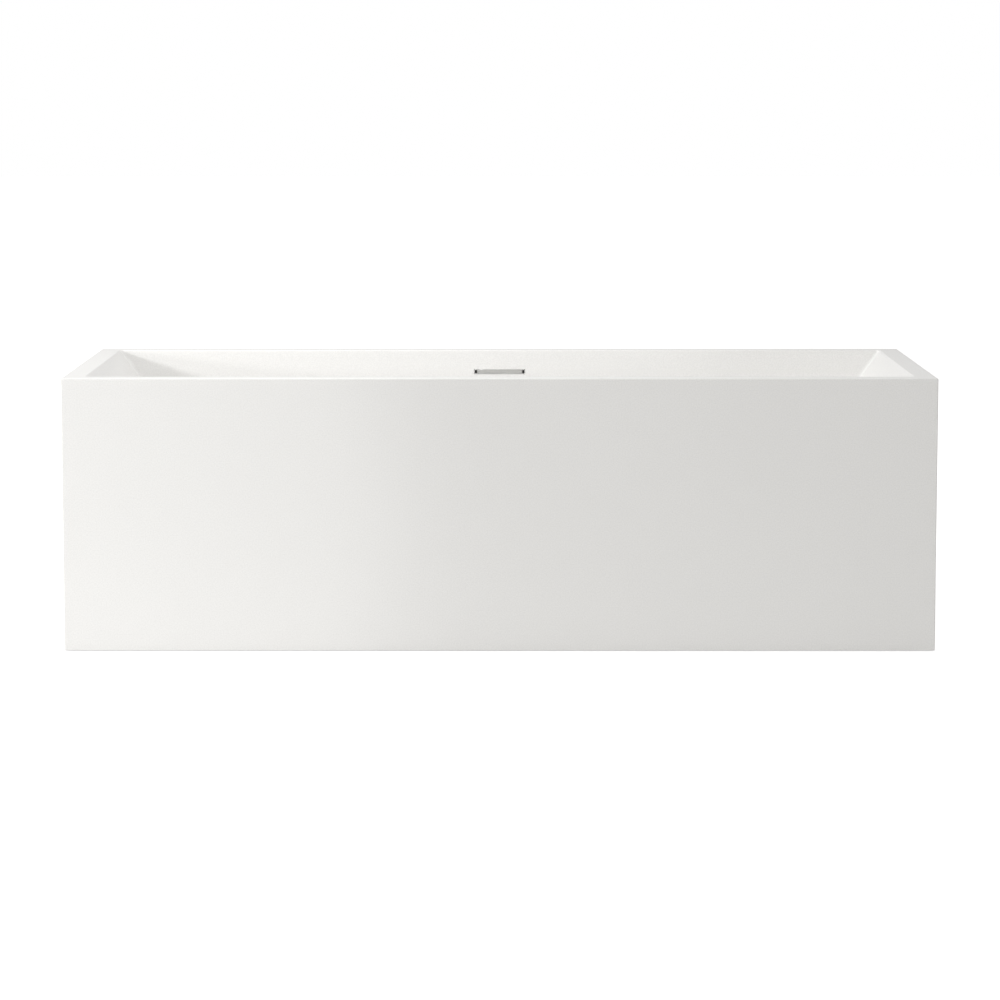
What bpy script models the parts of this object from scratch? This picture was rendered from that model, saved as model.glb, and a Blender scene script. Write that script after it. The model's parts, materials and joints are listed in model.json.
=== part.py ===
"""Freestanding rectangular bathtub, modelled as the pieces it is assembled from.

An acrylic basin and four acrylic panels stand on a galvanised under-frame with six screw feet.
A click-clack waste sits in the basin's floor.
A slotted overflow in the back wall drains to it through a pipe behind the wall.

Metres, +Z up, +X along the tub, +Y towards the overflow wall. The origin is on the floor under the centre.
"""

import math

import bpy
import bmesh
from mathutils import Vector

# ---------------------------------------------------------------- driving dimensions
LENGTH = 1.700
WIDTH = 0.750
HEIGHT = 0.535
RIM_WIDTH = 0.042
RIM_THICK = 0.010
END_SLOPE = math.radians(36)
SIDE_SLOPE = math.radians(7)
BASIN_WALL = 0.008
PANEL_WALL = 0.006
PANEL_LIFT = 0.002
GAP = 0.0003

EDGE_ROUND = 0.0025
LIP_ROUND = 0.003
CREASE_ROUND = 0.010
FLOOR_FILLET = 0.040
FLOOR_CORNER_ROUND = 0.040

# heights of the stack, from the floor up
NUT_HEIGHT = 0.010
CROSS_RAIL_Z = 0.050
RAIL = 0.025
RAIL_WALL = 0.002
LONG_RAIL_Z = CROSS_RAIL_Z + RAIL + GAP
BOARD_Z = LONG_RAIL_Z + RAIL + GAP
BOARD_THICK = 0.012
FLOOR_UNDER = BOARD_Z + BOARD_THICK + GAP
FLOOR_AT_DRAIN = FLOOR_UNDER + 0.008
FLOOR_AT_EDGE = FLOOR_UNDER + 0.013

# under-frame
LONG_RAIL_Y = 0.190
LONG_RAIL_HALF = 0.500
CROSS_RAIL_HALF = 0.300
CROSS_RAIL_X = {"left": -0.450, "middle": -0.120, "right": 0.450}
BOARD_HALF_X = 0.490
BOARD_HALF_Y = 0.250
BOARD_CUTOUT = 0.045

# levelling feet
FOOT_Y = {"front": -0.260, "back": 0.260}
STUD_RADIUS = 0.006
STUD_HOLE = 0.0063
STUD_BOTTOM = 0.008
STUD_TOP = 0.090
PAD_RADIUS = 0.024
PAD_TOP = 0.014

# waste
DRAIN_Y = 0.100
DISH_RADIUS = 0.0365
DISH_DEPTH = 0.004
DRAIN_HOLE = 0.0245
DRAIN_BODY = 0.0235
DRAIN_BORE = 0.0205
DRAIN_BODY_END = 0.064
LIP_RADIUS = 0.036
LIP_THICK = 0.0026
GASKET_RADIUS = 0.034
GASKET_THICK = 0.003
LOCKNUT_RADIUS = 0.036
LOCKNUT_HEIGHT = 0.0097
SPIDER_LOW = 0.1086
SPIDER_HIGH = 0.1128
SPIDER_RIB = 0.003
SPIDER_HUB = 0.011
SPIDER_HOLE = 0.0083
CARTRIDGE_LOW = 0.078
CARTRIDGE_HIGH = 0.1146
CARTRIDGE_BORE = 0.0043
CARTRIDGE_RADIUS = 0.0080
COLLAR_RADIUS = 0.0105
COLLAR_HEIGHT = 0.001

# stopper
CAP_RADIUS = 0.0325
CAP_CROWN = 0.0048
CAP_FLAT = 0.88
BOSS_RADIUS = 0.0145
BOSS_DEPTH = 0.0066
SEAL_RADIUS = 0.0235
PLUNGER_RADIUS = 0.004
PLUNGER_LOW = 0.080

# tee and tailpiece
TEE_TOP = 0.086
TEE_NECK = 0.057
TEE_END = 0.022
TEE_SOCKET = 0.0280
TEE_BODY = 0.0225
TEE_BORE = 0.0193
INLET_Z = 0.042
INLET_RADIUS = 0.0160
INLET_END = 0.062
INLET_SOCKET = 0.026
TAILPIECE_LOW = 0.006
TAILPIECE_HIGH = 0.030
TAILPIECE_RADIUS = 0.0190
TAILPIECE_BORE = 0.0174
TAIL_NUT_LOW = 0.012
TAIL_NUT_HIGH = 0.024
TAIL_NUT_RADIUS = 0.0270

# overflow
SLOT_HALF = 0.054
SLOT_LOW = HEIGHT - 0.0503
SLOT_HIGH = HEIGHT - 0.0407
TRIM_WALL = 0.0012
TRIM_PROUD = 0.0006
TRIM_BACK = 0.348
BAFFLE_HALF = 0.0480
BAFFLE_FRONT = 0.3325
BAFFLE_THICK = 0.0015
SCREW_X = {"left": -0.068, "right": 0.068}
SCREW_Z = (SLOT_LOW + SLOT_HIGH) / 2
SCREW_HOLE = 0.0023
SCREW_SHANK = 0.0020
SCREW_HEAD = 0.0040
SCREW_TIP = 0.3312
FLANGE_HALF = 0.074
FLANGE_LOW = HEIGHT - 0.0790
FLANGE_HIGH = HEIGHT - 0.0345
FLANGE_THICK = 0.0025
BOX_FRONT = 0.340
BOX_BACK = 0.3665
BOX_HALF = 0.062
BOX_LOW = HEIGHT - 0.0760
BOX_HIGH = HEIGHT - 0.0355
BOX_WALL = 0.0025
PIPE_RADIUS = 0.0125
PIPE_WALL = 0.002
PIPE_Y = 0.3530
PIPE_BEND = 0.050
SPIGOT_LOW = HEIGHT - 0.0890
PIPE_NUT_LENGTH = 0.014
TOP_NUT_RADIUS = 0.0155
BOTTOM_NUT_RADIUS = 0.0190

# fineness
CORNER_STEPS = 5
ROUND = 24
FINE = 18
THROUGH = 0.005

# worked-out sizes
HALF_X = LENGTH / 2
HALF_Y = WIDTH / 2
RIM_UNDER = HEIGHT - RIM_THICK
OPENING_X = HALF_X - RIM_WIDTH
OPENING_Y = HALF_Y - RIM_WIDTH
DISH_FLOOR = FLOOR_AT_DRAIN - DISH_DEPTH
SEAT = DISH_FLOOR + 0.0018
CAP_UNDER = SEAT + LIP_THICK + GAP


# ---------------------------------------------------------------- materials
def new_material(name, colour, roughness, metallic=0.0):
    material = bpy.data.materials.new(name)
    material.use_nodes = True
    shader = material.node_tree.nodes["Principled BSDF"]
    shader.inputs["Base Color"].default_value = (*colour, 1.0)
    shader.inputs["Roughness"].default_value = roughness
    shader.inputs["Metallic"].default_value = metallic
    return material


def make_materials():
    return {
        "acrylic": new_material("white_acrylic", (0.86, 0.85, 0.83), 0.35),
        "plywood": new_material("plywood", (0.55, 0.40, 0.24), 0.80),
        "timber": new_material("batten_timber", (0.62, 0.47, 0.29), 0.80),
        "galvanised": new_material("galvanised_steel", (0.62, 0.64, 0.66), 0.45, 1.0),
        "zinc": new_material("zinc_fastener", (0.70, 0.70, 0.68), 0.35, 1.0),
        "chrome": new_material("chrome", (0.88, 0.88, 0.88), 0.08, 1.0),
        "stainless": new_material("satin_stainless", (0.60, 0.60, 0.58), 0.32, 1.0),
        "brass": new_material("brass", (0.72, 0.54, 0.25), 0.30, 1.0),
        "rubber": new_material("black_rubber", (0.03, 0.03, 0.03), 0.80),
        "pipe_plastic": new_material("pipe_plastic", (0.75, 0.75, 0.74), 0.45),
        "foot_plastic": new_material("foot_plastic", (0.05, 0.05, 0.05), 0.60),
    }


# ---------------------------------------------------------------- mesh helpers
def clear_scene():
    for item in list(bpy.data.objects):
        bpy.data.objects.remove(item, do_unlink=True)


def add_object(name, shape, material=None, location=(0, 0, 0), smooth=True):
    """An object from a bmesh, which is freed."""
    bmesh.ops.recalc_face_normals(shape, faces=shape.faces)
    mesh = bpy.data.meshes.new(name)
    shape.to_mesh(mesh)
    shape.free()
    if smooth:
        mesh.shade_smooth()
        mesh.set_sharp_from_angle(angle=math.radians(30))
    item = bpy.data.objects.new(name, mesh)
    item.location = location
    bpy.context.scene.collection.objects.link(item)
    if material:
        mesh.materials.append(material)
    return item


def skin(rings, loop=False):
    """A closed solid through rings of equal length. A loop joins last to first, else both are capped."""
    shape = bmesh.new()
    rows = [[shape.verts.new(point) for point in ring] for ring in rings]
    pairs = list(zip(rows, rows[1:]))
    if loop:
        pairs.append((rows[-1], rows[0]))
    for near, far in pairs:
        for i, corner in enumerate(near):
            j = (i + 1) % len(near)
            shape.faces.new((corner, near[j], far[j], far[i]))
    if not loop:
        shape.faces.new(rows[0])
        shape.faces.new(rows[-1])
    return shape


def circle(radius, z, count, middle=(0, 0)):
    """Points round a circle, set half a step on, so that they pair with an outline's corners."""
    angles = [math.tau * (i + 0.5) / count for i in range(count)]
    return [Vector((middle[0] + radius * math.cos(a), middle[1] + radius * math.sin(a), z)) for a in angles]


def hexagon(across_flats, z, count):
    """Points round a hexagon at the angles of a circle of the same count."""
    points = []
    for i in range(count):
        angle = math.tau * (i + 0.5) / count
        from_flat = (angle + math.pi / 6) % (math.pi / 3) - math.pi / 6
        reach = across_flats / 2 / math.cos(from_flat)
        points.append(Vector((reach * math.cos(angle), reach * math.sin(angle), z)))
    return points


def turned(profile, count=ROUND, loop=True):
    """A solid turned about Z from (radius, z) points. A loop is a ring, and the rest have flat ends."""
    return skin([circle(radius, z, count) for radius, z in profile], loop)


def block(low, high):
    """A box between two corners."""
    shape = bmesh.new()
    bmesh.ops.create_cube(shape, size=1.0)
    low, high = Vector(low), Vector(high)
    bmesh.ops.scale(shape, vec=high - low, verts=shape.verts)
    bmesh.ops.translate(shape, vec=(high + low) / 2, verts=shape.verts)
    return shape


def prism(outline, low, high):
    """An outline in X and Y drawn up from low to high."""
    return skin([[Vector((x, y, z)) for x, y in outline] for z in (low, high)])


def turn_to(shape, axis):
    """Turns a bmesh made along Z so that it runs along another axis."""
    turn = Vector((0, 0, 1)).rotation_difference(Vector(axis)).to_matrix()
    bmesh.ops.transform(shape, matrix=turn.to_4x4(), verts=shape.verts)
    return shape


def combine(item, operation, shape, location=(0, 0, 0)):
    """Cuts a bmesh from an object, or joins it on, through a Boolean with a hidden helper."""
    number = len(item.modifiers)
    helper = add_object(f"{item.name}_{operation.lower()}_{number}", shape, None, location, smooth=False)
    helper.hide_render = True
    helper.display_type = "WIRE"
    modifier = item.modifiers.new(f"{operation.title()} {number}", "BOOLEAN")
    modifier.object = helper
    modifier.operation = operation
    modifier.solver = "EXACT"


def rod(radius, start, end, count=FINE):
    """A plain cylinder between two points."""
    start, end = Vector(start), Vector(end)
    shape = turned([(radius, 0), (radius, (end - start).length)], count, loop=False)
    turn_to(shape, (end - start).normalized())
    bmesh.ops.translate(shape, vec=start, verts=shape.verts)
    return shape


# ---------------------------------------------------------------- basin
def outline(half_x, half_y, radius, z_end, z_side):
    """A rounded rectangle, at z_end on the end walls and z_side on the long ones, blended between."""
    points = []
    for quarter in range(4):
        for step in range(CORNER_STEPS + 1):
            angle = math.pi / 2 * (quarter + step / CORNER_STEPS)
            side_x = 1 if quarter in (0, 3) else -1
            side_y = 1 if quarter in (0, 1) else -1
            x = side_x * (half_x - radius) + radius * math.cos(angle)
            y = side_y * (half_y - radius) + radius * math.sin(angle)
            z = z_end * math.cos(angle) ** 2 + z_side * math.sin(angle) ** 2
            points.append(Vector((x, y, z)))
    return points


def lip_arc(half, slope, radius, steps):
    """(half size, z) points of the rounded edge where the rim turns down into a sloping wall."""
    centre = half + radius * math.tan((math.pi / 2 - slope) / 2)
    turns = [(math.pi / 2 - slope) * i / steps for i in range(steps + 1)]
    return [(centre - radius * math.sin(t), HEIGHT - radius + radius * math.cos(t)) for t in turns]


def fillet_arc(half, slope, radius, floor, steps):
    """(half size, z) points of the fillet where a sloping wall, half wide at the rim, meets the floor."""
    at_floor = half - (HEIGHT - floor) * math.tan(slope)
    centre = at_floor - radius * math.tan((math.pi / 2 - slope) / 2)
    turns = [slope + (math.pi / 2 - slope) * i / steps for i in range(steps + 1)]
    return [(centre + radius * math.cos(t), floor + radius - radius * math.sin(t)) for t in turns]


def wall_rings(ends, sides, radii):
    """One outline for each station of the two profiles, with its corner radius."""
    return [
        outline(half_x, half_y, radius, z_end, z_side)
        for (half_x, z_end), (half_y, z_side), radius in zip(ends, sides, radii)
    ]


def basin_rings():
    """Every ring of the basin, from the rim down inside, through the waste hole and back up outside."""
    lip_steps, fillet_steps = 3, 5
    drain = (0, DRAIN_Y)
    count = 4 * (CORNER_STEPS + 1)

    lip = wall_rings(
        lip_arc(OPENING_X, END_SLOPE, LIP_ROUND, lip_steps),
        lip_arc(OPENING_Y, SIDE_SLOPE, LIP_ROUND, lip_steps),
        [CREASE_ROUND + LIP_ROUND * (1 - i / lip_steps) for i in range(lip_steps + 1)],
    )
    grow = FLOOR_CORNER_ROUND - CREASE_ROUND
    fillet_radii = [CREASE_ROUND + grow * (i / fillet_steps) ** 2 for i in range(fillet_steps + 1)]
    inside = wall_rings(
        fillet_arc(OPENING_X, END_SLOPE, FLOOR_FILLET, FLOOR_AT_EDGE, fillet_steps),
        fillet_arc(OPENING_Y, SIDE_SLOPE, FLOOR_FILLET, FLOOR_AT_EDGE, fillet_steps),
        fillet_radii,
    )
    waste_hole = [
        circle(DISH_RADIUS, FLOOR_AT_DRAIN, count, drain),
        circle(DISH_RADIUS, DISH_FLOOR, count, drain),
        circle(DRAIN_HOLE, DISH_FLOOR, count, drain),
        circle(DRAIN_HOLE, FLOOR_UNDER, count, drain),
    ]
    outer_x = OPENING_X + BASIN_WALL / math.cos(END_SLOPE)
    outer_y = OPENING_Y + BASIN_WALL / math.cos(SIDE_SLOPE)
    outer_fillet = FLOOR_FILLET + BASIN_WALL
    outside = wall_rings(
        fillet_arc(outer_x, END_SLOPE, outer_fillet, FLOOR_UNDER, fillet_steps)[::-1],
        fillet_arc(outer_y, SIDE_SLOPE, outer_fillet, FLOOR_UNDER, fillet_steps)[::-1],
        [radius + BASIN_WALL for radius in reversed(fillet_radii)],
    )
    under_x = outer_x - RIM_THICK * math.tan(END_SLOPE)
    under_y = outer_y - RIM_THICK * math.tan(SIDE_SLOPE)
    rim = [
        outline(under_x, under_y, CREASE_ROUND + BASIN_WALL, RIM_UNDER, RIM_UNDER),
        outline(HALF_X, HALF_Y, EDGE_ROUND, RIM_UNDER, RIM_UNDER),
    ]
    for turn in (0, 30, 60, 90):
        drop = EDGE_ROUND * (1 - math.sin(math.radians(turn)))
        inset = EDGE_ROUND * (1 - math.cos(math.radians(turn)))
        z = HEIGHT - drop
        rim.append(outline(HALF_X - inset, HALF_Y - inset, EDGE_ROUND, z, z))
    return lip + inside + waste_hole + outside + rim


def back_wall_y(z, outside=False):
    """Y of the back wall's face at a height."""
    face = OPENING_Y + (BASIN_WALL / math.cos(SIDE_SLOPE) if outside else 0)
    return face - (HEIGHT - z) * math.tan(SIDE_SLOPE)


def make_basin(materials):
    basin = add_object("basin", skin(basin_rings(), loop=True), materials["acrylic"])
    inside = back_wall_y(SLOT_LOW) - 2 * THROUGH
    outside = back_wall_y(SLOT_HIGH, outside=True) + 2 * THROUGH
    slot_low = (-SLOT_HALF - GAP, inside, SLOT_LOW - GAP)
    slot_high = (SLOT_HALF + GAP, outside, SLOT_HIGH + GAP)
    combine(basin, "DIFFERENCE", block(slot_low, slot_high))
    for x in SCREW_X.values():
        hole = rod(SCREW_HOLE, (x, SCREW_TIP - GAP, SCREW_Z), (x, outside, SCREW_Z))
        combine(basin, "DIFFERENCE", hole)


# ---------------------------------------------------------------- panels and their stiffeners
def make_panels(materials):
    """Four flat panels, mitred where they meet. The end panels run to the corners' points."""
    mitre = GAP * math.sqrt(2)
    low, high = PANEL_LIFT, RIM_UNDER - GAP
    reach = HALF_X - mitre
    for name, side in (("front_panel", -1), ("back_panel", 1)):
        inner = HALF_Y - PANEL_WALL
        points = [(-reach, side * HALF_Y), (reach, side * HALF_Y)]
        points += [(reach - PANEL_WALL, side * inner), (PANEL_WALL - reach, side * inner)]
        add_object(name, prism(points, low, high), materials["acrylic"], smooth=False)
    for name, side in (("left_end_panel", -1), ("right_end_panel", 1)):
        inner = HALF_X - PANEL_WALL
        points = [(side * HALF_X, -HALF_Y), (side * HALF_X, HALF_Y)]
        points += [(side * inner, HALF_Y - PANEL_WALL), (side * inner, PANEL_WALL - HALF_Y)]
        add_object(name, prism(points, low, high), materials["acrylic"], smooth=False)


def make_corner_strips(materials):
    """An acrylic angle bonded inside each corner of the panels."""
    leg, thick, low, high = 0.025, 0.003, 0.012, RIM_UNDER - GAP
    corner_x = HALF_X - PANEL_WALL - GAP
    corner_y = HALF_Y - PANEL_WALL - GAP
    for along, side_x in (("left", -1), ("right", 1)):
        for across, side_y in (("front", -1), ("back", 1)):
            steps = [(0, 0), (leg, 0), (leg, thick), (thick, thick), (thick, leg), (0, leg)]
            points = [(side_x * (corner_x - x), side_y * (corner_y - y)) for x, y in steps]
            name = f"corner_strip_{across}_{along}"
            add_object(name, prism(points, low, high), materials["acrylic"], smooth=False)


def make_rim_battens(materials):
    """Timber laminated under the long sides of the rim, between the basin and the panels."""
    half, width, height = 0.780, 0.025, 0.023
    outer = HALF_Y - PANEL_WALL - GAP
    top = RIM_UNDER - GAP
    for name, side in (("rim_batten_front", -1), ("rim_batten_back", 1)):
        near, far = sorted((side * outer, side * (outer - width)))
        batten = block((-half, near, top - height), (half, far, top))
        add_object(name, batten, materials["timber"], smooth=False)


def make_panel_brackets(materials):
    """A bent steel plate from each outer end of the cross rails to the long panels."""
    thick, width, rail_end, upright = 0.002, 0.025, 0.275, 0.048
    face = HALF_Y - PANEL_WALL - GAP
    low = LONG_RAIL_Z
    outline_points = [(rail_end, 0), (face, 0), (face, upright), (face - thick, upright)]
    outline_points += [(face - thick, thick), (rail_end, thick)]
    for along in ("left", "right"):
        x = CROSS_RAIL_X[along]
        for across, side in (("front", -1), ("back", 1)):
            rings = [
                [Vector((offset, side * y, low + z)) for y, z in outline_points]
                for offset in (-width / 2, width / 2)
            ]
            name = f"panel_bracket_{across}_{along}"
            add_object(name, skin(rings), materials["galvanised"], (x, 0, 0), smooth=False)


# ---------------------------------------------------------------- under-frame
def square_tube(half_length):
    """A square tube along Z, open at both ends."""
    corners = [(1, 1), (-1, 1), (-1, -1), (1, -1)]
    outer = RAIL / 2
    inner = outer - RAIL_WALL
    sizes = (outer, outer, inner, inner)
    heights = (-half_length, half_length, half_length, -half_length)
    rings = [
        [Vector((x * size, y * size, z)) for x, y in corners]
        for size, z in zip(sizes, heights)
    ]
    return skin(rings, loop=True)


def make_frame(materials):
    for name, y in (("long_rail_front", -LONG_RAIL_Y), ("long_rail_back", LONG_RAIL_Y)):
        tube = turn_to(square_tube(LONG_RAIL_HALF), (1, 0, 0))
        add_object(name, tube, materials["galvanised"], (0, y, LONG_RAIL_Z + RAIL / 2), smooth=False)
    for along, x in CROSS_RAIL_X.items():
        tube = turn_to(square_tube(CROSS_RAIL_HALF), (0, 1, 0))
        centre = (x, 0, CROSS_RAIL_Z + RAIL / 2)
        rail = add_object(f"cross_rail_{along}", tube, materials["galvanised"], centre, smooth=False)
        for y in FOOT_Y.values():
            ends = (CROSS_RAIL_Z - THROUGH, CROSS_RAIL_Z + RAIL + THROUGH)
            combine(rail, "DIFFERENCE", rod(STUD_HOLE, *[(x, y, z) for z in ends]))


def make_base_board(materials):
    """Plywood under the basin's floor, with a round cut-out for the waste."""
    count = 4 * (CORNER_STEPS + 1)
    low, high, corner = BOARD_Z, BOARD_Z + BOARD_THICK, 0.020
    rings = [
        outline(BOARD_HALF_X, BOARD_HALF_Y, corner, low, low),
        outline(BOARD_HALF_X, BOARD_HALF_Y, corner, high, high),
        circle(BOARD_CUTOUT, high, count, (0, DRAIN_Y)),
        circle(BOARD_CUTOUT, low, count, (0, DRAIN_Y)),
    ]
    add_object("base_board", skin(rings, loop=True), materials["plywood"], smooth=False)


# ---------------------------------------------------------------- levelling feet
def foot_pad():
    """A tapered pad with a blind socket for the stud."""
    socket = STUD_BOTTOM - GAP
    profile = [(PAD_RADIUS - 0.001, 0), (PAD_RADIUS, 0.001), (PAD_RADIUS, 0.005), (0.012, PAD_TOP)]
    return turned(profile + [(STUD_HOLE, PAD_TOP), (STUD_HOLE, socket)], FINE, loop=False)


def foot_stud():
    """An M12 stud with a hexagon to turn it by."""
    low, high, across_flats, chamfer = 0.016, 0.023, 0.017, 0.001
    rings = [circle(STUD_RADIUS - chamfer, STUD_BOTTOM, FINE)]
    rings += [circle(STUD_RADIUS, z, FINE) for z in (STUD_BOTTOM + chamfer, low)]
    rings += [hexagon(across_flats, z, FINE) for z in (low, high)]
    rings += [circle(STUD_RADIUS, z, FINE) for z in (high, STUD_TOP - chamfer)]
    rings += [circle(STUD_RADIUS - chamfer, STUD_TOP, FINE)]
    return skin(rings)


def foot_nut():
    """The lock nut that holds a stud against its cross rail."""
    across_flats, high = 0.019, CROSS_RAIL_Z - GAP
    low = high - NUT_HEIGHT
    rings = [hexagon(across_flats, z, FINE) for z in (low, high)]
    rings += [circle(STUD_HOLE, z, FINE) for z in (high, low)]
    return skin(rings, loop=True)


def make_feet(materials):
    """Six feet. Each pad's and each stud's origin is on the stud's axis, at the floor."""
    pieces = (("pad", foot_pad, "foot_plastic"), ("stud", foot_stud, "zinc"), ("nut", foot_nut, "zinc"))
    for along, x in CROSS_RAIL_X.items():
        for across, y in FOOT_Y.items():
            for piece, build, slot in pieces:
                add_object(f"foot_{piece}_{across}_{along}", build(), materials[slot], (x, y, 0))


# ---------------------------------------------------------------- waste
def make_drain(materials):
    """The fixed pieces of the waste, all turned about its axis."""
    place = (0, DRAIN_Y, 0)
    lip_edge, crown_inset, throat = 0.001, 0.0085, 0.0037
    flange = [(LIP_RADIUS, SEAT), (LIP_RADIUS, SEAT + LIP_THICK - lip_edge)]
    flange += [(LIP_RADIUS - lip_edge, SEAT + LIP_THICK - lip_edge / 2)]
    flange += [(LIP_RADIUS - crown_inset, SEAT + LIP_THICK), (DRAIN_BORE, SEAT - throat)]
    flange += [(DRAIN_BORE, DRAIN_BODY_END), (DRAIN_BODY, DRAIN_BODY_END), (DRAIN_BODY, SEAT)]
    body = add_object("drain_flange", turned(flange), materials["chrome"], place)
    reach = DRAIN_BORE + 0.001
    for half_x, half_y in ((reach, SPIDER_RIB / 2), (SPIDER_RIB / 2, reach)):
        bar = block((-half_x, -half_y, SPIDER_LOW), (half_x, half_y, SPIDER_HIGH))
        combine(body, "UNION", bar, place)
    combine(body, "UNION", rod(SPIDER_HUB, (0, 0, SPIDER_LOW), (0, 0, SPIDER_HIGH)), place)
    hole = rod(SPIDER_HOLE, (0, 0, SPIDER_LOW - THROUGH), (0, 0, SPIDER_HIGH + THROUGH))
    combine(body, "DIFFERENCE", hole, place)

    def ring(name, slot, inner, outer, low, high):
        profile = [(inner, low), (outer, low), (outer, high), (inner, high)]
        add_object(name, turned(profile), materials[slot], place)

    ring("drain_top_gasket", "rubber", DRAIN_HOLE + 0.0005, GASKET_RADIUS, DISH_FLOOR + GAP, SEAT - GAP)
    under_gasket = FLOOR_UNDER - GASKET_THICK - GAP
    ring("drain_bottom_gasket", "rubber", DRAIN_HOLE, GASKET_RADIUS, under_gasket, FLOOR_UNDER - GAP)
    locknut_top = under_gasket - GAP
    locknut_low = locknut_top - LOCKNUT_HEIGHT
    ring("drain_locknut", "brass", DRAIN_BODY + GAP, LOCKNUT_RADIUS, locknut_low, locknut_top)

    collar = SPIDER_HIGH + GAP
    cartridge = [(CARTRIDGE_BORE, CARTRIDGE_LOW), (CARTRIDGE_RADIUS, CARTRIDGE_LOW)]
    cartridge += [(CARTRIDGE_RADIUS, collar), (COLLAR_RADIUS, collar)]
    cartridge += [(COLLAR_RADIUS, collar + COLLAR_HEIGHT), (CARTRIDGE_RADIUS, collar + COLLAR_HEIGHT)]
    cartridge += [(CARTRIDGE_RADIUS, CARTRIDGE_HIGH), (CARTRIDGE_BORE, CARTRIDGE_HIGH)]
    add_object("click_cartridge", turned(cartridge, FINE), materials["brass"], place)


def make_stopper(materials):
    """The click-clack stopper, which lifts along the waste's axis. Its origin is on that axis."""
    place = (0, DRAIN_Y, 0)
    boss = CAP_UNDER - BOSS_DEPTH
    edge, edge_top, chamfer = 0.0008, 0.0018, 0.002
    cap = [(BOSS_RADIUS, boss), (BOSS_RADIUS, CAP_UNDER), (CAP_RADIUS - chamfer, CAP_UNDER)]
    cap += [(CAP_RADIUS, CAP_UNDER + edge), (CAP_RADIUS, CAP_UNDER + edge_top)]
    rise = CAP_CROWN - edge_top
    for share in (0.25, 0.5, 0.75, 1.0):
        turn = math.pi / 2 * share
        radius = CAP_RADIUS * math.cos(turn * CAP_FLAT)
        cap.append((radius, CAP_UNDER + edge_top + rise * math.sin(turn)))
    add_object("stopper_cap", turned(cap, loop=False), materials["chrome"], place)
    seal_inner, seal_foot = BOSS_RADIUS + GAP, 0.002
    seal = [(seal_inner, boss + seal_foot), (SEAL_RADIUS - 0.0025, boss + seal_foot)]
    seal += [(SEAL_RADIUS, boss + seal_foot + 0.0025), (SEAL_RADIUS, CAP_UNDER - GAP)]
    seal += [(seal_inner, CAP_UNDER - GAP)]
    add_object("stopper_seal", turned(seal), materials["rubber"], place)
    plunger = rod(PLUNGER_RADIUS, (0, 0, PLUNGER_LOW), (0, 0, boss - GAP))
    add_object("stopper_plunger", plunger, materials["brass"], place)


def make_waste_tee(materials):
    """The tee under the waste: a socket on top, an outlet below, and the overflow's inlet at the back."""
    place = (0, DRAIN_Y, 0)
    shoulder = DRAIN_BODY_END - GAP
    socket_bore = DRAIN_BODY + 0.0005
    body = [(socket_bore, TEE_TOP), (TEE_SOCKET, TEE_TOP), (TEE_SOCKET, TEE_NECK + 0.003)]
    body += [(TEE_BODY, TEE_NECK), (TEE_BODY, TEE_END), (TEE_BORE, TEE_END)]
    body += [(TEE_BORE, shoulder), (socket_bore, shoulder)]
    tee = add_object("waste_tee", turned(body), materials["pipe_plastic"], place)

    def inlet(radius, near, far):
        return rod(radius, (0, near, INLET_Z), (0, far, INLET_Z), ROUND)

    combine(tee, "UNION", inlet(INLET_RADIUS, TEE_BODY - 0.002, INLET_END), place)
    combine(tee, "DIFFERENCE", inlet(PIPE_RADIUS + GAP, INLET_SOCKET, INLET_END + THROUGH), place)
    bore = inlet(PIPE_RADIUS - PIPE_WALL, TEE_BORE / 2, INLET_SOCKET + THROUGH / 2)
    combine(tee, "DIFFERENCE", bore, place)

    pipe = [(TAILPIECE_BORE, TAILPIECE_LOW), (TAILPIECE_RADIUS, TAILPIECE_LOW)]
    pipe += [(TAILPIECE_RADIUS, TAILPIECE_HIGH), (TAILPIECE_BORE, TAILPIECE_HIGH)]
    add_object("tailpiece", turned(pipe), materials["chrome"], place)
    cup = TEE_BODY + GAP
    nut = [(TEE_BORE, TAIL_NUT_LOW), (TAIL_NUT_RADIUS, TAIL_NUT_LOW), (TAIL_NUT_RADIUS, TAIL_NUT_HIGH)]
    nut += [(cup, TAIL_NUT_HIGH), (cup, TEE_END - GAP), (TEE_BORE, TEE_END - GAP)]
    add_object("tailpiece_nut", turned(nut), materials["chrome"], place)


# ---------------------------------------------------------------- overflow
def rectangle(half, low, high, face_y):
    """Four points of a rectangle facing along Y. face_y gives Y at a height."""
    corners = [(-half, low), (half, low), (half, high), (-half, high)]
    return [Vector((x, face_y(z), z)) for x, z in corners]


def make_overflow_trim(materials):
    """A thin metal sleeve that lines the slot, its front edge parallel to the sloping wall.

    A plate across it hides the way through. Water runs past the plate's two ends.
    """
    def front(z):
        return back_wall_y(z) - TRIM_PROUD

    def back(z):
        return TRIM_BACK

    inner = (SLOT_HALF - TRIM_WALL, SLOT_LOW + TRIM_WALL, SLOT_HIGH - TRIM_WALL)
    outer = (SLOT_HALF, SLOT_LOW, SLOT_HIGH)
    rings = [rectangle(*outer, front), rectangle(*outer, back)]
    rings += [rectangle(*inner, back), rectangle(*inner, front)]
    trim = add_object("overflow_trim", skin(rings, loop=True), materials["stainless"], smooth=False)
    half_wall = TRIM_WALL / 2
    plate_low = (-BAFFLE_HALF, BAFFLE_FRONT, SLOT_LOW + half_wall)
    plate_high = (BAFFLE_HALF, BAFFLE_FRONT + BAFFLE_THICK, SLOT_HIGH - half_wall)
    combine(trim, "UNION", block(plate_low, plate_high))


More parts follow.
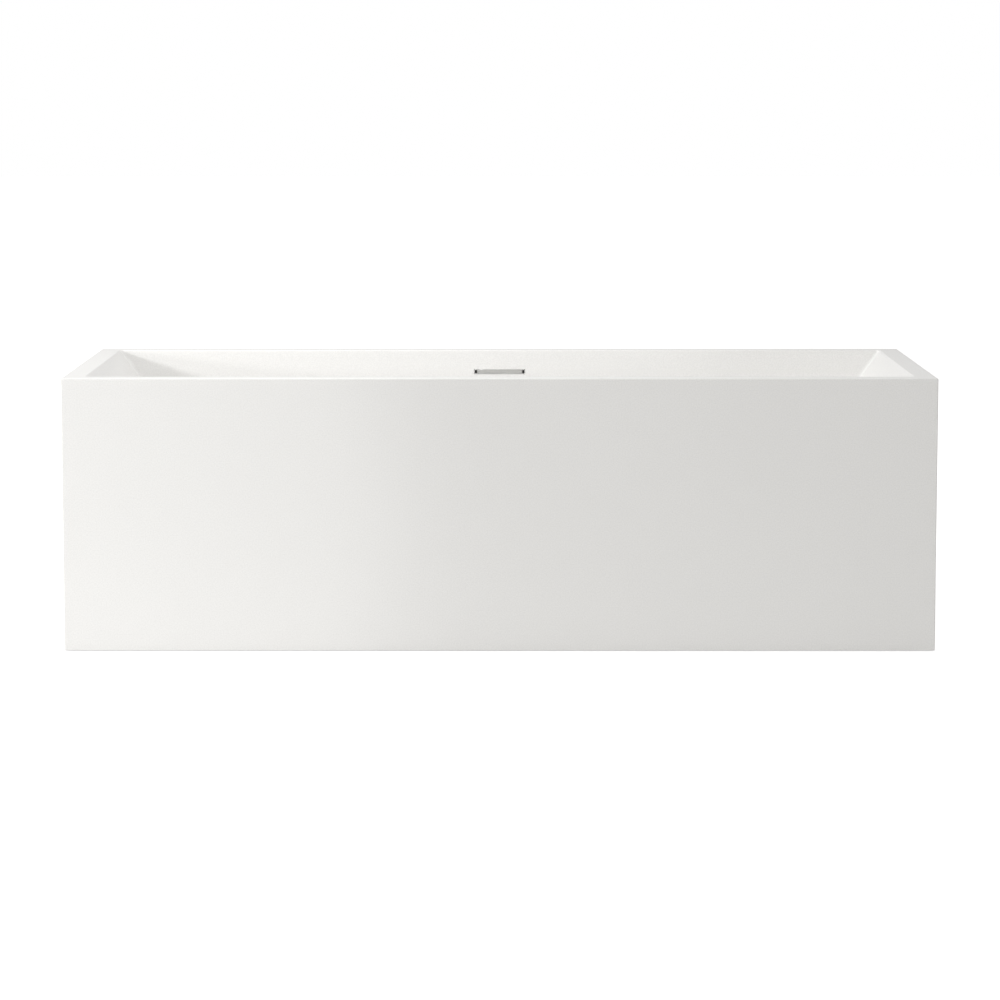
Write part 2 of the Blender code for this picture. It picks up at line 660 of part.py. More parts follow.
def make_overflow_box(materials):
    """The housing behind the wall, its tapered gasket and its two screws."""
    def wall_face(z):
        return back_wall_y(z, outside=True) + GAP

    def gasket_back(z):
        return BOX_FRONT - GAP

    outer = (FLANGE_HALF, FLANGE_LOW, FLANGE_HIGH)
    inner = (BOX_HALF - BOX_WALL, BOX_LOW + BOX_WALL, BOX_HIGH - BOX_WALL)
    rings = [rectangle(*outer, wall_face), rectangle(*outer, gasket_back)]
    rings += [rectangle(*inner, gasket_back), rectangle(*inner, wall_face)]
    gasket = add_object("overflow_gasket", skin(rings, loop=True), materials["rubber"], smooth=False)

    flange_back = BOX_FRONT + FLANGE_THICK
    flange = block((-FLANGE_HALF, BOX_FRONT, FLANGE_LOW), (FLANGE_HALF, flange_back, FLANGE_HIGH))
    box = add_object("overflow_box", flange, materials["pipe_plastic"], smooth=False)
    inside_flange = BOX_FRONT + FLANGE_THICK / 2
    combine(box, "UNION", block((-BOX_HALF, inside_flange, BOX_LOW), (BOX_HALF, BOX_BACK, BOX_HIGH)))
    combine(box, "UNION", rod(PIPE_RADIUS, (0, PIPE_Y, SPIGOT_LOW), (0, PIPE_Y, BOX_LOW + BOX_WALL / 2)))
    cavity_low = (-inner[0], BOX_FRONT - THROUGH, inner[1])
    combine(box, "DIFFERENCE", block(cavity_low, (inner[0], BOX_BACK - BOX_WALL, inner[2])))
    bore_ends = [(0, PIPE_Y, z) for z in (SPIGOT_LOW - THROUGH, inner[1] + THROUGH)]
    combine(box, "DIFFERENCE", rod(PIPE_RADIUS - PIPE_WALL, *bore_ends))

    hole_ends = (SCREW_TIP - THROUGH, flange_back + THROUGH)
    for piece in (gasket, box):
        for x in SCREW_X.values():
            combine(piece, "DIFFERENCE", rod(SCREW_HOLE, *[(x, y, SCREW_Z) for y in hole_ends]))
    head = flange_back + GAP
    profile = [(SCREW_SHANK, SCREW_TIP - head), (SCREW_SHANK, 0), (SCREW_HEAD, 0)]
    profile += [(SCREW_HEAD, 0.0015), (SCREW_HEAD - 0.001, 0.0025)]
    for along, x in SCREW_X.items():
        screw = turn_to(turned(profile, FINE, loop=False), (0, 1, 0))
        add_object(f"overflow_screw_{along}", screw, materials["zinc"], (x, head, SCREW_Z))


def pipe_route():
    """Points down behind the wall, round one bend and forward to the tee, with the direction at each."""
    low, bend_steps, clear_of_shoulder = INLET_Z + PIPE_BEND, 8, 0.001
    route = [((PIPE_Y, SPIGOT_LOW - clear_of_shoulder), 0.0)]
    for step in range(bend_steps + 1):
        turn = math.pi / 2 * step / bend_steps
        y = PIPE_Y - PIPE_BEND + PIPE_BEND * math.cos(turn)
        route.append(((y, low - PIPE_BEND * math.sin(turn)), turn))
    route.append(((DRAIN_Y + INLET_SOCKET + clear_of_shoulder, INLET_Z), math.pi / 2))
    return route


def make_overflow_pipe(materials):
    """The pipe from the overflow to the tee, with a compression nut at each end."""
    def section(radius):
        rings = []
        for (y, z), turn in pipe_route():
            ring = []
            for i in range(FINE):
                angle = math.tau * i / FINE
                out = radius * math.sin(angle)
                across = Vector((0, out * math.cos(turn), -out * math.sin(turn)))
                ring.append(Vector((radius * math.cos(angle), y, z)) + across)
            rings.append(ring)
        return rings

    rings = section(PIPE_RADIUS) + section(PIPE_RADIUS - PIPE_WALL)[::-1]
    add_object("overflow_pipe", skin(rings, loop=True), materials["pipe_plastic"])

    bore = PIPE_RADIUS + GAP
    nut = [(bore, 0), (TOP_NUT_RADIUS, 0), (TOP_NUT_RADIUS, PIPE_NUT_LENGTH), (bore, PIPE_NUT_LENGTH)]
    place = (0, PIPE_Y, SPIGOT_LOW - PIPE_NUT_LENGTH / 2)
    add_object("overflow_nut_top", turned(nut, FINE), materials["pipe_plastic"], place)
    cup, end_wall = INLET_RADIUS + GAP, 0.004
    cap = [(bore, 0), (BOTTOM_NUT_RADIUS, 0), (BOTTOM_NUT_RADIUS, -PIPE_NUT_LENGTH)]
    cap += [(cup, -PIPE_NUT_LENGTH), (cup, -end_wall), (bore, -end_wall)]
    bottom = turn_to(turned(cap, FINE), (0, 1, 0))
    place = (0, DRAIN_Y + INLET_END + GAP + end_wall, INLET_Z)
    add_object("overflow_nut_bottom", bottom, materials["pipe_plastic"], place)


def main():
    clear_scene()
    materials = make_materials()
    make_basin(materials)
    make_panels(materials)
    make_corner_strips(materials)
    make_rim_battens(materials)
    make_panel_brackets(materials)
    make_frame(materials)
    make_base_board(materials)
    make_feet(materials)
    make_drain(materials)
    make_stopper(materials)
    make_waste_tee(materials)
    make_overflow_trim(materials)
    make_overflow_box(materials)
    make_overflow_pipe(materials)


main()
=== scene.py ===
"""Looks of the freestanding bathtub: fine meshes for its pieces, procedural materials, studio and camera.

Every piece is made in the frame's own metres, +Z up. It takes the place of the CAD node that
it is named after.
"""

import json
import math

import bmesh
import bpy
from mathutils import Matrix, Vector

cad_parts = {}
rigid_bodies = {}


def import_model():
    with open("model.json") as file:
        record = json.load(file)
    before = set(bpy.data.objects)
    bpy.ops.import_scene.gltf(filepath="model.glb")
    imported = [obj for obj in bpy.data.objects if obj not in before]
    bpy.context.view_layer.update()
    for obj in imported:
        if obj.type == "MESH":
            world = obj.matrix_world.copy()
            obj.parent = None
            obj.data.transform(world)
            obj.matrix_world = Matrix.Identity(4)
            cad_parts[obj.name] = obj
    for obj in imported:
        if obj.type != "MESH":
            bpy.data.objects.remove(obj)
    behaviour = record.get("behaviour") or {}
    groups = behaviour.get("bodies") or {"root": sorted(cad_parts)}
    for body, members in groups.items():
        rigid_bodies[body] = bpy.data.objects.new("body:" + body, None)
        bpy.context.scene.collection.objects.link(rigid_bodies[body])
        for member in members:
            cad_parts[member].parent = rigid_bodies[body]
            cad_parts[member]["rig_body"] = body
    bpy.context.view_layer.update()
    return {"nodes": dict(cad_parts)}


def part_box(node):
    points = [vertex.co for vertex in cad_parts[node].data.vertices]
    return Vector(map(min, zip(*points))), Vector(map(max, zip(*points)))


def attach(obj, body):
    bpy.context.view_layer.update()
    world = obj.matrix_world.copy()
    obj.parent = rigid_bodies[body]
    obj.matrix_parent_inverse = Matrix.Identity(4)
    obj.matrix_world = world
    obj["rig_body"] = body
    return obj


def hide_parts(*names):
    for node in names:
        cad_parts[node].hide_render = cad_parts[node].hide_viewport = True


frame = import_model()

# ---------------- sizes taken from the frame
BASIN_LOW, BASIN_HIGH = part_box("basin")
HALF_X = BASIN_HIGH.x
HALF_Y = BASIN_HIGH.y
RIM_TOP = BASIN_HIGH.z
FLOOR_UNDER = BASIN_LOW.z

# ---------------- the basin's design, as in the CAD
RIM_WIDTH = 0.042
RIM_THICK = 0.010
END_SLOPE = math.radians(36)
SIDE_SLOPE = math.radians(7)
BASIN_WALL = 0.008
EDGE_ROUND = 0.0025
LIP_ROUND = 0.003
CREASE_ROUND = 0.010
FLOOR_FILLET = 0.040
FLOOR_CORNER_ROUND = 0.040
FLOOR_AT_DRAIN = FLOOR_UNDER + 0.008
FLOOR_AT_EDGE = FLOOR_UNDER + 0.013
DISH_RADIUS = 0.0365
DISH_DEPTH = 0.004
DISH_EDGE = 0.0008
DRAIN_HOLE = 0.0245
PANEL_WALL = 0.006
GAP = 0.0003

RIM_UNDER = RIM_TOP - RIM_THICK
OPENING_X = HALF_X - RIM_WIDTH
OPENING_Y = HALF_Y - RIM_WIDTH
DISH_FLOOR = FLOOR_AT_DRAIN - DISH_DEPTH
DRAIN = (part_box("drain_flange")[0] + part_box("drain_flange")[1]) / 2
DRAIN_AXIS = (DRAIN.x, DRAIN.y)
TRIM_LOW, TRIM_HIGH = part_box("overflow_trim")
SCREWS = ("overflow_screw_left", "overflow_screw_right")
ACROSS = {"front": -1, "back": 1}
ALONG = ("left", "middle", "right")

# ---------------- fineness
CORNER_STEPS = 12
ARC_STEPS = 8
FILLET_STEPS = 14
FLOOR_RINGS = 8
ROUND = 96
SMALL_ROUND = 48
SHARP = math.radians(30)

# ---------------- small pieces
FINE_EDGE = 0.0004
SOFT_EDGE = 0.0008
SEAT = DISH_FLOOR + 0.0018
DRAIN_BORE = 0.0205
DRAIN_BODY = 0.0235
LIP_RADIUS = 0.036
LIP_THICK = 0.0026
GASKET_RADIUS = 0.034
LOCKNUT_RADIUS = 0.036
SPIDER_LOW = 0.1086
SPIDER_HIGH = 0.1128
SPIDER_RIB = 0.003
SPIDER_HUB = 0.011
SPIDER_HOLE = 0.0083
CARTRIDGE_BORE = 0.0043
CARTRIDGE_RADIUS = 0.0080
COLLAR_RADIUS = 0.0105
COLLAR_HEIGHT = 0.001
CAP_RADIUS = 0.0325
BOSS_RADIUS = 0.0145
BOSS_DEPTH = 0.0066
SEAL_RADIUS = 0.0235
PLUNGER_RADIUS = 0.004
TEE_TOP = 0.086
TEE_NECK = 0.057
TEE_SOCKET = 0.0280
TEE_BODY = 0.0225
TEE_BORE = 0.0193
TAILPIECE_RADIUS = 0.0190
TAILPIECE_BORE = 0.0174
TAIL_NUT_RADIUS = 0.0270
SCREW_HOLE = 0.0023
TRIM_WALL = 0.0012
TRIM_PROUD = 0.0006
BAFFLE_HALF = 0.0480
BAFFLE_FRONT = 0.3325
BAFFLE_THICK = 0.0015
BOX_WALL = 0.0025
BOX_HALF = 0.062
BOX_LOW = RIM_TOP - 0.0760
BOX_HIGH = RIM_TOP - 0.0355
BOX_CORNER = 0.003
FLANGE_THICK = 0.0025
FLANGE_CORNER = 0.006
PIPE_Y = 0.3530
PIPE_RADIUS = 0.0125
PIPE_WALL = 0.002
PIPE_BEND = 0.050
INLET_RADIUS = 0.0160
INLET_Z = 0.042
INLET_END = 0.062
INLET_SOCKET = 0.026
RAIL = 0.025
RAIL_WALL = 0.002
STUD_RADIUS = 0.006
THREAD_PITCH = 0.00175
THREAD_DEPTH = 0.00094
STUD_HOLE = 0.0063
THROUGH = 0.005

# ---------------- studio
FLOOR_HALF = 30.0
FLOOR_GLOW = 0.6
WORLD_LIGHT = 0.576

# ---------------- camera
CAMERA_PLACE = (0.0008, -7.455, 1.138)
CAMERA_PITCH = math.radians(6.766)
CAMERA_LENS = 132.08


# ---------------- materials
def set_inputs(node, **inputs):
    """Gives each named input of a shader node a value, or links a source to it."""
    for name, value in inputs.items():
        socket = node.inputs[name.replace("_", " ")]
        if isinstance(value, bpy.types.NodeSocket):
            node.id_data.links.new(value, socket)
        else:
            socket.default_value = value
    return node


def add_node(tree, kind, **inputs):
    return set_inputs(tree.nodes.new(kind), **inputs)


class Paint:
    """One procedural material, painted in the frame's own metres through object coordinates."""

    def __init__(self, name, **fixed):
        self.material = bpy.data.materials.new(name)
        self.material.use_nodes = True
        self.tree = self.material.node_tree
        self.shader = set_inputs(self.tree.nodes["Principled BSDF"], **fixed)
        self.place = add_node(self.tree, "ShaderNodeTexCoord").outputs["Object"]

    def noise(self, scale, detail=2.0, stretch=None, distortion=0.0):
        """A noise, whose place may be stretched by a factor along each axis."""
        place = self.place
        if stretch:
            place = add_node(self.tree, "ShaderNodeMapping", Vector=place, Scale=stretch).outputs["Vector"]
        texture = add_node(
            self.tree, "ShaderNodeTexNoise", Vector=place, Scale=scale, Detail=detail, Distortion=distortion
        )
        return texture.outputs["Fac"]

    def cells(self, scale):
        """A random grey for each cell of a crystal pattern."""
        texture = add_node(self.tree, "ShaderNodeTexVoronoi", Vector=self.place, Scale=scale)
        grey = add_node(self.tree, "ShaderNodeSeparateColor", Color=texture.outputs["Color"])
        return grey.outputs["Red"]

    def bands(self, scale, direction):
        texture = add_node(self.tree, "ShaderNodeTexWave", Vector=self.place, Scale=scale)
        texture.bands_direction = direction
        return texture.outputs["Fac"]

    def ranged(self, source, low, high, start=0.3, end=0.7):
        """A source that runs from start to end, turned into one from low to high."""
        ends = {"From_Min": start, "From_Max": end, "To_Min": low, "To_Max": high}
        return add_node(self.tree, "ShaderNodeMapRange", Value=source, **ends).outputs["Result"]

    def blended(self, factor, first, second):
        """A colour between two, each a colour or another blend."""
        node = self.tree.nodes.new("ShaderNodeMix")
        node.data_type = "RGBA"
        self.tree.links.new(factor, node.inputs["Factor"])
        colours = [socket for socket in node.inputs if socket.type == "RGBA"]
        for socket, colour in zip(colours, (first, second)):
            if isinstance(colour, tuple):
                socket.default_value = (*colour, 1.0)
            else:
                self.tree.links.new(colour, socket)
        return [socket for socket in node.outputs if socket.type == "RGBA"][0]

    def colour(self, source):
        set_inputs(self.shader, Base_Color=source)

    def roughness(self, source):
        set_inputs(self.shader, Roughness=source)

    def bumps(self, *heights):
        """Bumps on top of each other, each a (height source, strength, depth in metres)."""
        normal = None
        for source, strength, depth in heights:
            node = add_node(self.tree, "ShaderNodeBump", Height=source, Strength=strength, Distance=depth)
            if normal:
                set_inputs(node, Normal=normal)
            normal = node.outputs["Normal"]
        set_inputs(self.shader, Normal=normal)


def acrylic():
    """Warm white satin acrylic: faint cloudiness, a fine pale speckle and a slight orange peel."""
    paint = Paint("acrylic_satin_white", IOR=1.49, Coat_Weight=0.12, Coat_Roughness=0.22)
    cloud = paint.ranged(paint.noise(3.5, 3.0), 0.0, 1.0)
    speckle = paint.ranged(paint.noise(400.0, 1.0), 0.0, 1.0)
    broad = paint.blended(cloud, (0.898, 0.892, 0.876), (0.888, 0.882, 0.866))
    paint.colour(paint.blended(speckle, broad, (0.834, 0.828, 0.813)))
    paint.roughness(paint.ranged(paint.noise(60.0, 4.0), 0.33, 0.40))
    paint.bumps((paint.noise(380.0, 2.0), 0.05, 0.0002), (paint.noise(1600.0, 1.0), 0.05, 0.00005))
    return paint.material


def plywood():
    """Birch plywood: veneers stacked along Z, grain along X, a rough sawn feel."""
    paint = Paint("birch_plywood")
    grain = paint.ranged(paint.noise(60.0, 6.0, (0.12, 1.0, 0.4), 0.6), 0.0, 1.0)
    face = paint.blended(grain, (0.56, 0.41, 0.25), (0.66, 0.51, 0.34))
    layers = paint.ranged(paint.bands(131.0, "Z"), 0.0, 0.55, 0.35, 0.9)
    paint.colour(paint.blended(layers, face, (0.36, 0.23, 0.12)))
    paint.roughness(paint.ranged(grain, 0.62, 0.80, 0.0, 1.0))
    paint.bumps((grain, 0.35, 0.0003))
    return paint.material


def timber():
    """Planed softwood with its grain along X."""
    paint = Paint("planed_softwood")
    rings = paint.ranged(paint.noise(70.0, 5.0, (0.05, 1.0, 1.0), 1.2), 0.0, 1.0)
    fibre = paint.noise(600.0, 3.0, (0.04, 1.0, 1.0))
    paint.colour(paint.blended(rings, (0.64, 0.47, 0.28), (0.48, 0.31, 0.16)))
    paint.roughness(paint.ranged(fibre, 0.55, 0.75))
    paint.bumps((rings, 0.25, 0.0003), (fibre, 0.25, 0.0001))
    return paint.material


def galvanised():
    """Hot-dip zinc with its crystal spangle."""
    paint = Paint("galvanised_spangle", Metallic=1.0)
    spangle = paint.cells(95.0)
    cloud = paint.ranged(paint.noise(18.0, 4.0), 0.0, 1.0)
    crystal = paint.blended(spangle, (0.50, 0.52, 0.55), (0.68, 0.70, 0.72))
    paint.colour(paint.blended(cloud, crystal, (0.58, 0.60, 0.61)))
    paint.roughness(paint.ranged(spangle, 0.34, 0.55, 0.0, 1.0))
    paint.bumps((spangle, 0.06, 0.0002), (paint.noise(420.0, 3.0), 0.12, 0.0001))
    return paint.material


def plated(name, bright, dull, smooth, rough, scale=150.0, stretch=None, bump=0.05, **fixed):
    """A plated or brushed metal whose tone and gloss vary along a noise."""
    paint = Paint(name, Metallic=1.0, **fixed)
    streaks = paint.ranged(paint.noise(scale, 4.0, stretch), 0.0, 1.0)
    smudges = paint.noise(25.0, 3.0)
    paint.colour(paint.blended(streaks, bright, dull))
    paint.roughness(paint.ranged(smudges, smooth, rough))
    paint.bumps((streaks, bump, 0.00004))
    return paint.material


def moulded(name, light, dark, smooth, rough, grain=700.0, bump=0.15):
    """Moulded plastic or rubber with a fine skin texture."""
    paint = Paint(name)
    cloud = paint.ranged(paint.noise(40.0, 3.0), 0.0, 1.0)
    skin_grain = paint.noise(grain, 3.0)
    paint.colour(paint.blended(cloud, light, dark))
    paint.roughness(paint.ranged(skin_grain, smooth, rough))
    paint.bumps((skin_grain, bump, 0.0001))
    return paint.material


def make_materials():
    return {
        "acrylic": acrylic(),
        "plywood": plywood(),
        "timber": timber(),
        "galvanised": galvanised(),
        "zinc": plated("zinc_plate", (0.66, 0.68, 0.70), (0.58, 0.60, 0.60), 0.24, 0.38),
        "chrome": plated("bright_chrome", (0.90, 0.90, 0.91), (0.84, 0.84, 0.85), 0.04, 0.10, bump=0.01),
        "stainless": plated(
            "brushed_stainless", (0.82, 0.82, 0.81), (0.68, 0.68, 0.67), 0.26, 0.36,
            900.0, (0.03, 1.0, 1.0), 0.12, Anisotropic=0.4,
        ),
        "brass": plated("turned_brass", (0.76, 0.58, 0.28), (0.66, 0.48, 0.20), 0.20, 0.34),
        "rubber": moulded("black_rubber", (0.030, 0.030, 0.031), (0.018, 0.018, 0.018), 0.60, 0.80),
        "pipe_plastic": moulded(
            "pipe_plastic", (0.74, 0.74, 0.73), (0.69, 0.69, 0.68), 0.34, 0.46, 500.0, 0.06,
        ),
        "foot_plastic": moulded("foot_plastic", (0.040, 0.041, 0.042), (0.025, 0.025, 0.026), 0.45, 0.62),
    }


# ---------------- mesh helpers
def slot_of(node):
    """The record's material slot of a CAD node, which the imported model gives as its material's name."""
    return frame["nodes"][node].data.materials[0].name


def add_object(name, data):
    item = bpy.data.objects.new(name, data)
    bpy.context.scene.collection.objects.link(item)
    return item


def add_mesh(name, shape):
    """An object from a bmesh, which is freed."""
    bmesh.ops.recalc_face_normals(shape, faces=shape.faces)
    mesh = bpy.data.meshes.new(name)
    shape.to_mesh(mesh)
    shape.free()
    return add_object(name, mesh)


def combine(item, operations):
    """Cuts and joins bmeshes through Booleans, then keeps the result as the object's own mesh."""
    helpers = []
    for operation, shape in operations:
        helper = add_mesh(f"{item.name}_helper", shape)
        helpers.append(helper)
        modifier = item.modifiers.new(operation, "BOOLEAN")
        modifier.operation = operation
        modifier.solver = "EXACT"
        modifier.object = helper
    bpy.context.view_layer.update()
    evaluated = item.evaluated_get(bpy.context.evaluated_depsgraph_get())
    result = bpy.data.meshes.new_from_object(evaluated)
    item.modifiers.clear()
    item.data = result
    for helper in helpers:
        bpy.data.objects.remove(helper, do_unlink=True)


def fine_piece(node, shape, operations=()):
    """The fine piece of a CAD node: cut and joined, shaded smooth, painted, and put in the node's place."""
    item = add_mesh(f"{node}_fine", shape)
    if operations:
        combine(item, operations)
    mesh = item.data
    mesh.materials.clear()
    mesh.materials.append(MATERIALS[slot_of(node)])
    mesh.shade_smooth()
    mesh.set_sharp_from_angle(angle=SHARP)
    item.modifiers.new("Weighted normals", "WEIGHTED_NORMAL").keep_sharp = True
    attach(item, frame["nodes"][node]["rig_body"])
    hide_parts(node)


def bridge(shape, near, far):
    """Faces between two rings that have as many points."""
    for i, corner in enumerate(near):
        j = (i + 1) % len(near)
        shape.faces.new((corner, near[j], far[j], far[i]))


def skin(rings, loop=False):
    """A closed solid through rings of equal length. A loop joins the last to the first, without caps."""
    shape = bmesh.new()
    rows = [[shape.verts.new(point) for point in ring] for ring in rings]
    pairs = list(zip(rows, rows[1:]))
    if loop:
        pairs.append((rows[-1], rows[0]))
    for near, far in pairs:
        bridge(shape, near, far)
    if not loop:
        shape.faces.new(rows[0])
        shape.faces.new(rows[-1])
    return shape


def prism(points, low, high, edge=0.0):
    """A flat (x, y) outline drawn up from one height to another, with its sharp edges rounded."""
    shape = skin([[Vector((x, y, z)) for x, y in points] for z in (low, high)])
    return soften(shape, edge) if edge else shape


def rounded(points, radius, steps=4, closed=True):
    """A flat outline with its corners turned into arcs, as far as its edges allow.

    radius is one number, or a list with one for each corner. An open outline keeps its two ends.
    """
    almost_straight, edge_share = math.radians(175), 0.45
    points = [Vector(point) for point in points]
    radii = radius if isinstance(radius, list) else [radius] * len(points)
    result = []
    for i, corner in enumerate(points):
        before = points[i - 1] - corner
        after = points[(i + 1) % len(points)] - corner
        is_end = not closed and i in (0, len(points) - 1)
        if radii[i] <= 0 or is_end or before.angle(after) > almost_straight:
            result.append(corner)
            continue
        inner = before.angle(after)
        half_tan = math.tan(inner / 2)
        reach = min(radii[i] / half_tan, edge_share * before.length, edge_share * after.length)
        start = corner + before.normalized() * reach
        end = corner + after.normalized() * reach
        inwards = (before.normalized() + after.normalized()).normalized()
        centre = corner + inwards * (reach * half_tan / math.sin(inner / 2))
        turn = math.pi - inner
        for step in range(steps + 1):
            share = step / steps
            from_start = (start - centre) * math.sin((1 - share) * turn)
            from_end = (end - centre) * math.sin(share * turn)
            result.append(centre + (from_start + from_end) / math.sin(turn))
    return result


def circle(radius, z, count, middle=(0, 0), start=0.0):
    """Points round a circle. start is how far on the first one is, in steps."""
    angles = [math.tau * (i + start) / count for i in range(count)]
    return [Vector((middle[0] + radius * math.cos(a), middle[1] + radius * math.sin(a), z)) for a in angles]


def turned(profile, middle, count=ROUND, loop=True, edge=FINE_EDGE, outline_of=circle):
    """A solid turned about a vertical axis from (radius, z) points, whose corners are rounded by edge."""
    points = rounded(profile, edge, steps=3, closed=loop)
    rings = [outline_of(point.x, point.y, count) for point in points]
    offset = Vector((middle[0], middle[1], 0))
    return skin([[point + offset for point in ring] for ring in rings], loop)


def polar(reach_at, z, count):
    """Points round the vertical axis, at the distance that reach_at gives for each angle."""
    angles = [math.tau * i / count for i in range(count)]
    return [Vector((reach_at(a) * math.cos(a), reach_at(a) * math.sin(a), z)) for a in angles]


def ribbed(radius, z, count):
    """A circle whose edge is drawn in between its ribs."""
    ribs, depth = 24, 0.03
    return polar(lambda a: radius * (1 - depth * max(0.0, math.cos(ribs * a)) ** 2), z, count)


def foot_ribs(radius, z, count):
    """A pad's outline: shallow grips round its rim that die away towards the stud."""
    ribs, depth, rim, smooth_share = 16, 0.0006, 0.024, 0.6
    grip = depth * max(0.0, radius / rim - smooth_share)
    return polar(lambda a: radius - grip * (1 - math.cos(ribs * a)), z, count)


def hexagon(across_flats, z, count):
    """Points round a hexagon at the angles of a circle of the same count."""
    def reach(angle):
        from_flat = (angle + math.pi / 6) % (math.pi / 3) - math.pi / 6
        return across_flats / 2 / math.cos(from_flat)

    return polar(reach, z, count)


def chamfered_hexagon(across_flats, low, high, count):
    """Rings of a hexagon whose corners are turned down to a cone at both ends."""
    face_share, cone, steps = 0.98, math.radians(30), 4
    flat, corner = across_flats / 2, across_flats / math.sqrt(3)
    face = flat * face_share
    drop = (corner - flat) * math.tan(cone)
    rings = []
    for step in range(steps + 1):
        rings.append((low + drop * step / steps, face + (corner - face) * step / steps))
    rings += [(low + high - z, limit) for z, limit in reversed(rings)]
    result = []
    for z, limit in rings:
        ring = hexagon(across_flats, z, count)
        for point in ring:
            scale = min(1.0, limit / math.hypot(point.x, point.y))
            point.x *= scale
            point.y *= scale
        result.append(ring)
    return result


def soften(shape, width, segments=3):
    """Rounds every edge of a bmesh that turns by more than the sharp angle."""
    bmesh.ops.recalc_face_normals(shape, faces=shape.faces)
    edges = [edge for edge in shape.edges if len(edge.link_faces) == 2 and edge.calc_face_angle() > SHARP]
    bmesh.ops.bevel(shape, geom=edges, offset=width, segments=segments, profile=0.5, affect="EDGES")
    return shape


def block(low, high, edge=0.0):
    """A box between two corners, with its edges rounded."""
    shape = bmesh.new()
    bmesh.ops.create_cube(shape, size=1.0)
    low, high = Vector(low), Vector(high)
    bmesh.ops.scale(shape, vec=high - low, verts=shape.verts)
    bmesh.ops.translate(shape, vec=(high + low) / 2, verts=shape.verts)
    return soften(shape, edge) if edge else shape


def rod(radius, start, end, count=SMALL_ROUND):
    """A plain cylinder between two points, for Booleans."""
    start, end = Vector(start), Vector(end)
    shape = skin([circle(radius, z, count) for z in (0, (end - start).length)])
    turn = Vector((0, 0, 1)).rotation_difference((end - start).normalized()).to_matrix()
    bmesh.ops.transform(shape, matrix=turn.to_4x4(), verts=shape.verts)
    bmesh.ops.translate(shape, vec=start, verts=shape.verts)
    return shape


def upright_rod(radius, middle, low, high, count=SMALL_ROUND):
    """A plain cylinder along Z round an (x, y) point."""
    return rod(radius, (*middle, low), (*middle, high), count)


def laid_along_y(shape, place):
    """A shape made about the vertical axis, tipped so that its top points along Y, at a place."""
    turn = Matrix.Rotation(-math.pi / 2, 4, "X")
    bmesh.ops.transform(shape, matrix=Matrix.Translation(place) @ turn, verts=shape.verts)
    return shape


def ring_piece(node, inner, outer, middle=DRAIN_AXIS, edge=FINE_EDGE, outline_of=circle):
    """The finished fine piece of a CAD node that is a plain upright ring."""
    low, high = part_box(node)
    profile = [(inner, low.z), (outer, low.z), (outer, high.z), (inner, high.z)]
    fine_piece(node, turned(profile, middle, edge=edge, outline_of=outline_of))


# ---------------- basin
def outline(half_x, half_y, radius, z_end, z_side):
    """A rounded rectangle, z_end high on the end walls and z_side on the long walls."""
    points = []
    for quarter in range(4):
        for step in range(CORNER_STEPS + 1):
            angle = math.pi / 2 * (quarter + step / CORNER_STEPS)
            side_x = 1 if quarter in (0, 3) else -1
            side_y = 1 if quarter in (0, 1) else -1
            x = side_x * (half_x - radius) + radius * math.cos(angle)
            y = side_y * (half_y - radius) + radius * math.sin(angle)
            z = z_end * math.cos(angle) ** 2 + z_side * math.sin(angle) ** 2
            points.append(Vector((x, y, z)))
    return points


def lip_arc(half, slope):
    """(half size, z) points of the rounded edge where the rim turns down into a sloping wall."""
    radius = LIP_ROUND
    centre = half + radius * math.tan((math.pi / 2 - slope) / 2)
    turns = [(math.pi / 2 - slope) * i / ARC_STEPS for i in range(ARC_STEPS + 1)]
    return [(centre - radius * math.sin(t), RIM_TOP - radius + radius * math.cos(t)) for t in turns]


def fillet_arc(half, slope, radius, floor):
    """(half size, z) points of the fillet where a sloping wall, half wide at the rim, meets the floor."""
    at_floor = half - (RIM_TOP - floor) * math.tan(slope)
    centre = at_floor - radius * math.tan((math.pi / 2 - slope) / 2)
    turns = [slope + (math.pi / 2 - slope) * i / FILLET_STEPS for i in range(FILLET_STEPS + 1)]
    return [(centre + radius * math.cos(t), floor + radius - radius * math.sin(t)) for t in turns]


def wall_rings(ends, sides, radii):
    """One outline for each station of the end walls' profile, the long walls' and the corner radii."""
    return [
        outline(half_x, half_y, radius, z_end, z_side)
        for (half_x, z_end), (half_y, z_side), radius in zip(ends, sides, radii)
    ]


def round_waste(radius, z):
    """A circle round the waste, with as many points as an outline."""
    return circle(radius, z, 4 * (CORNER_STEPS + 1), DRAIN_AXIS, start=0.5)


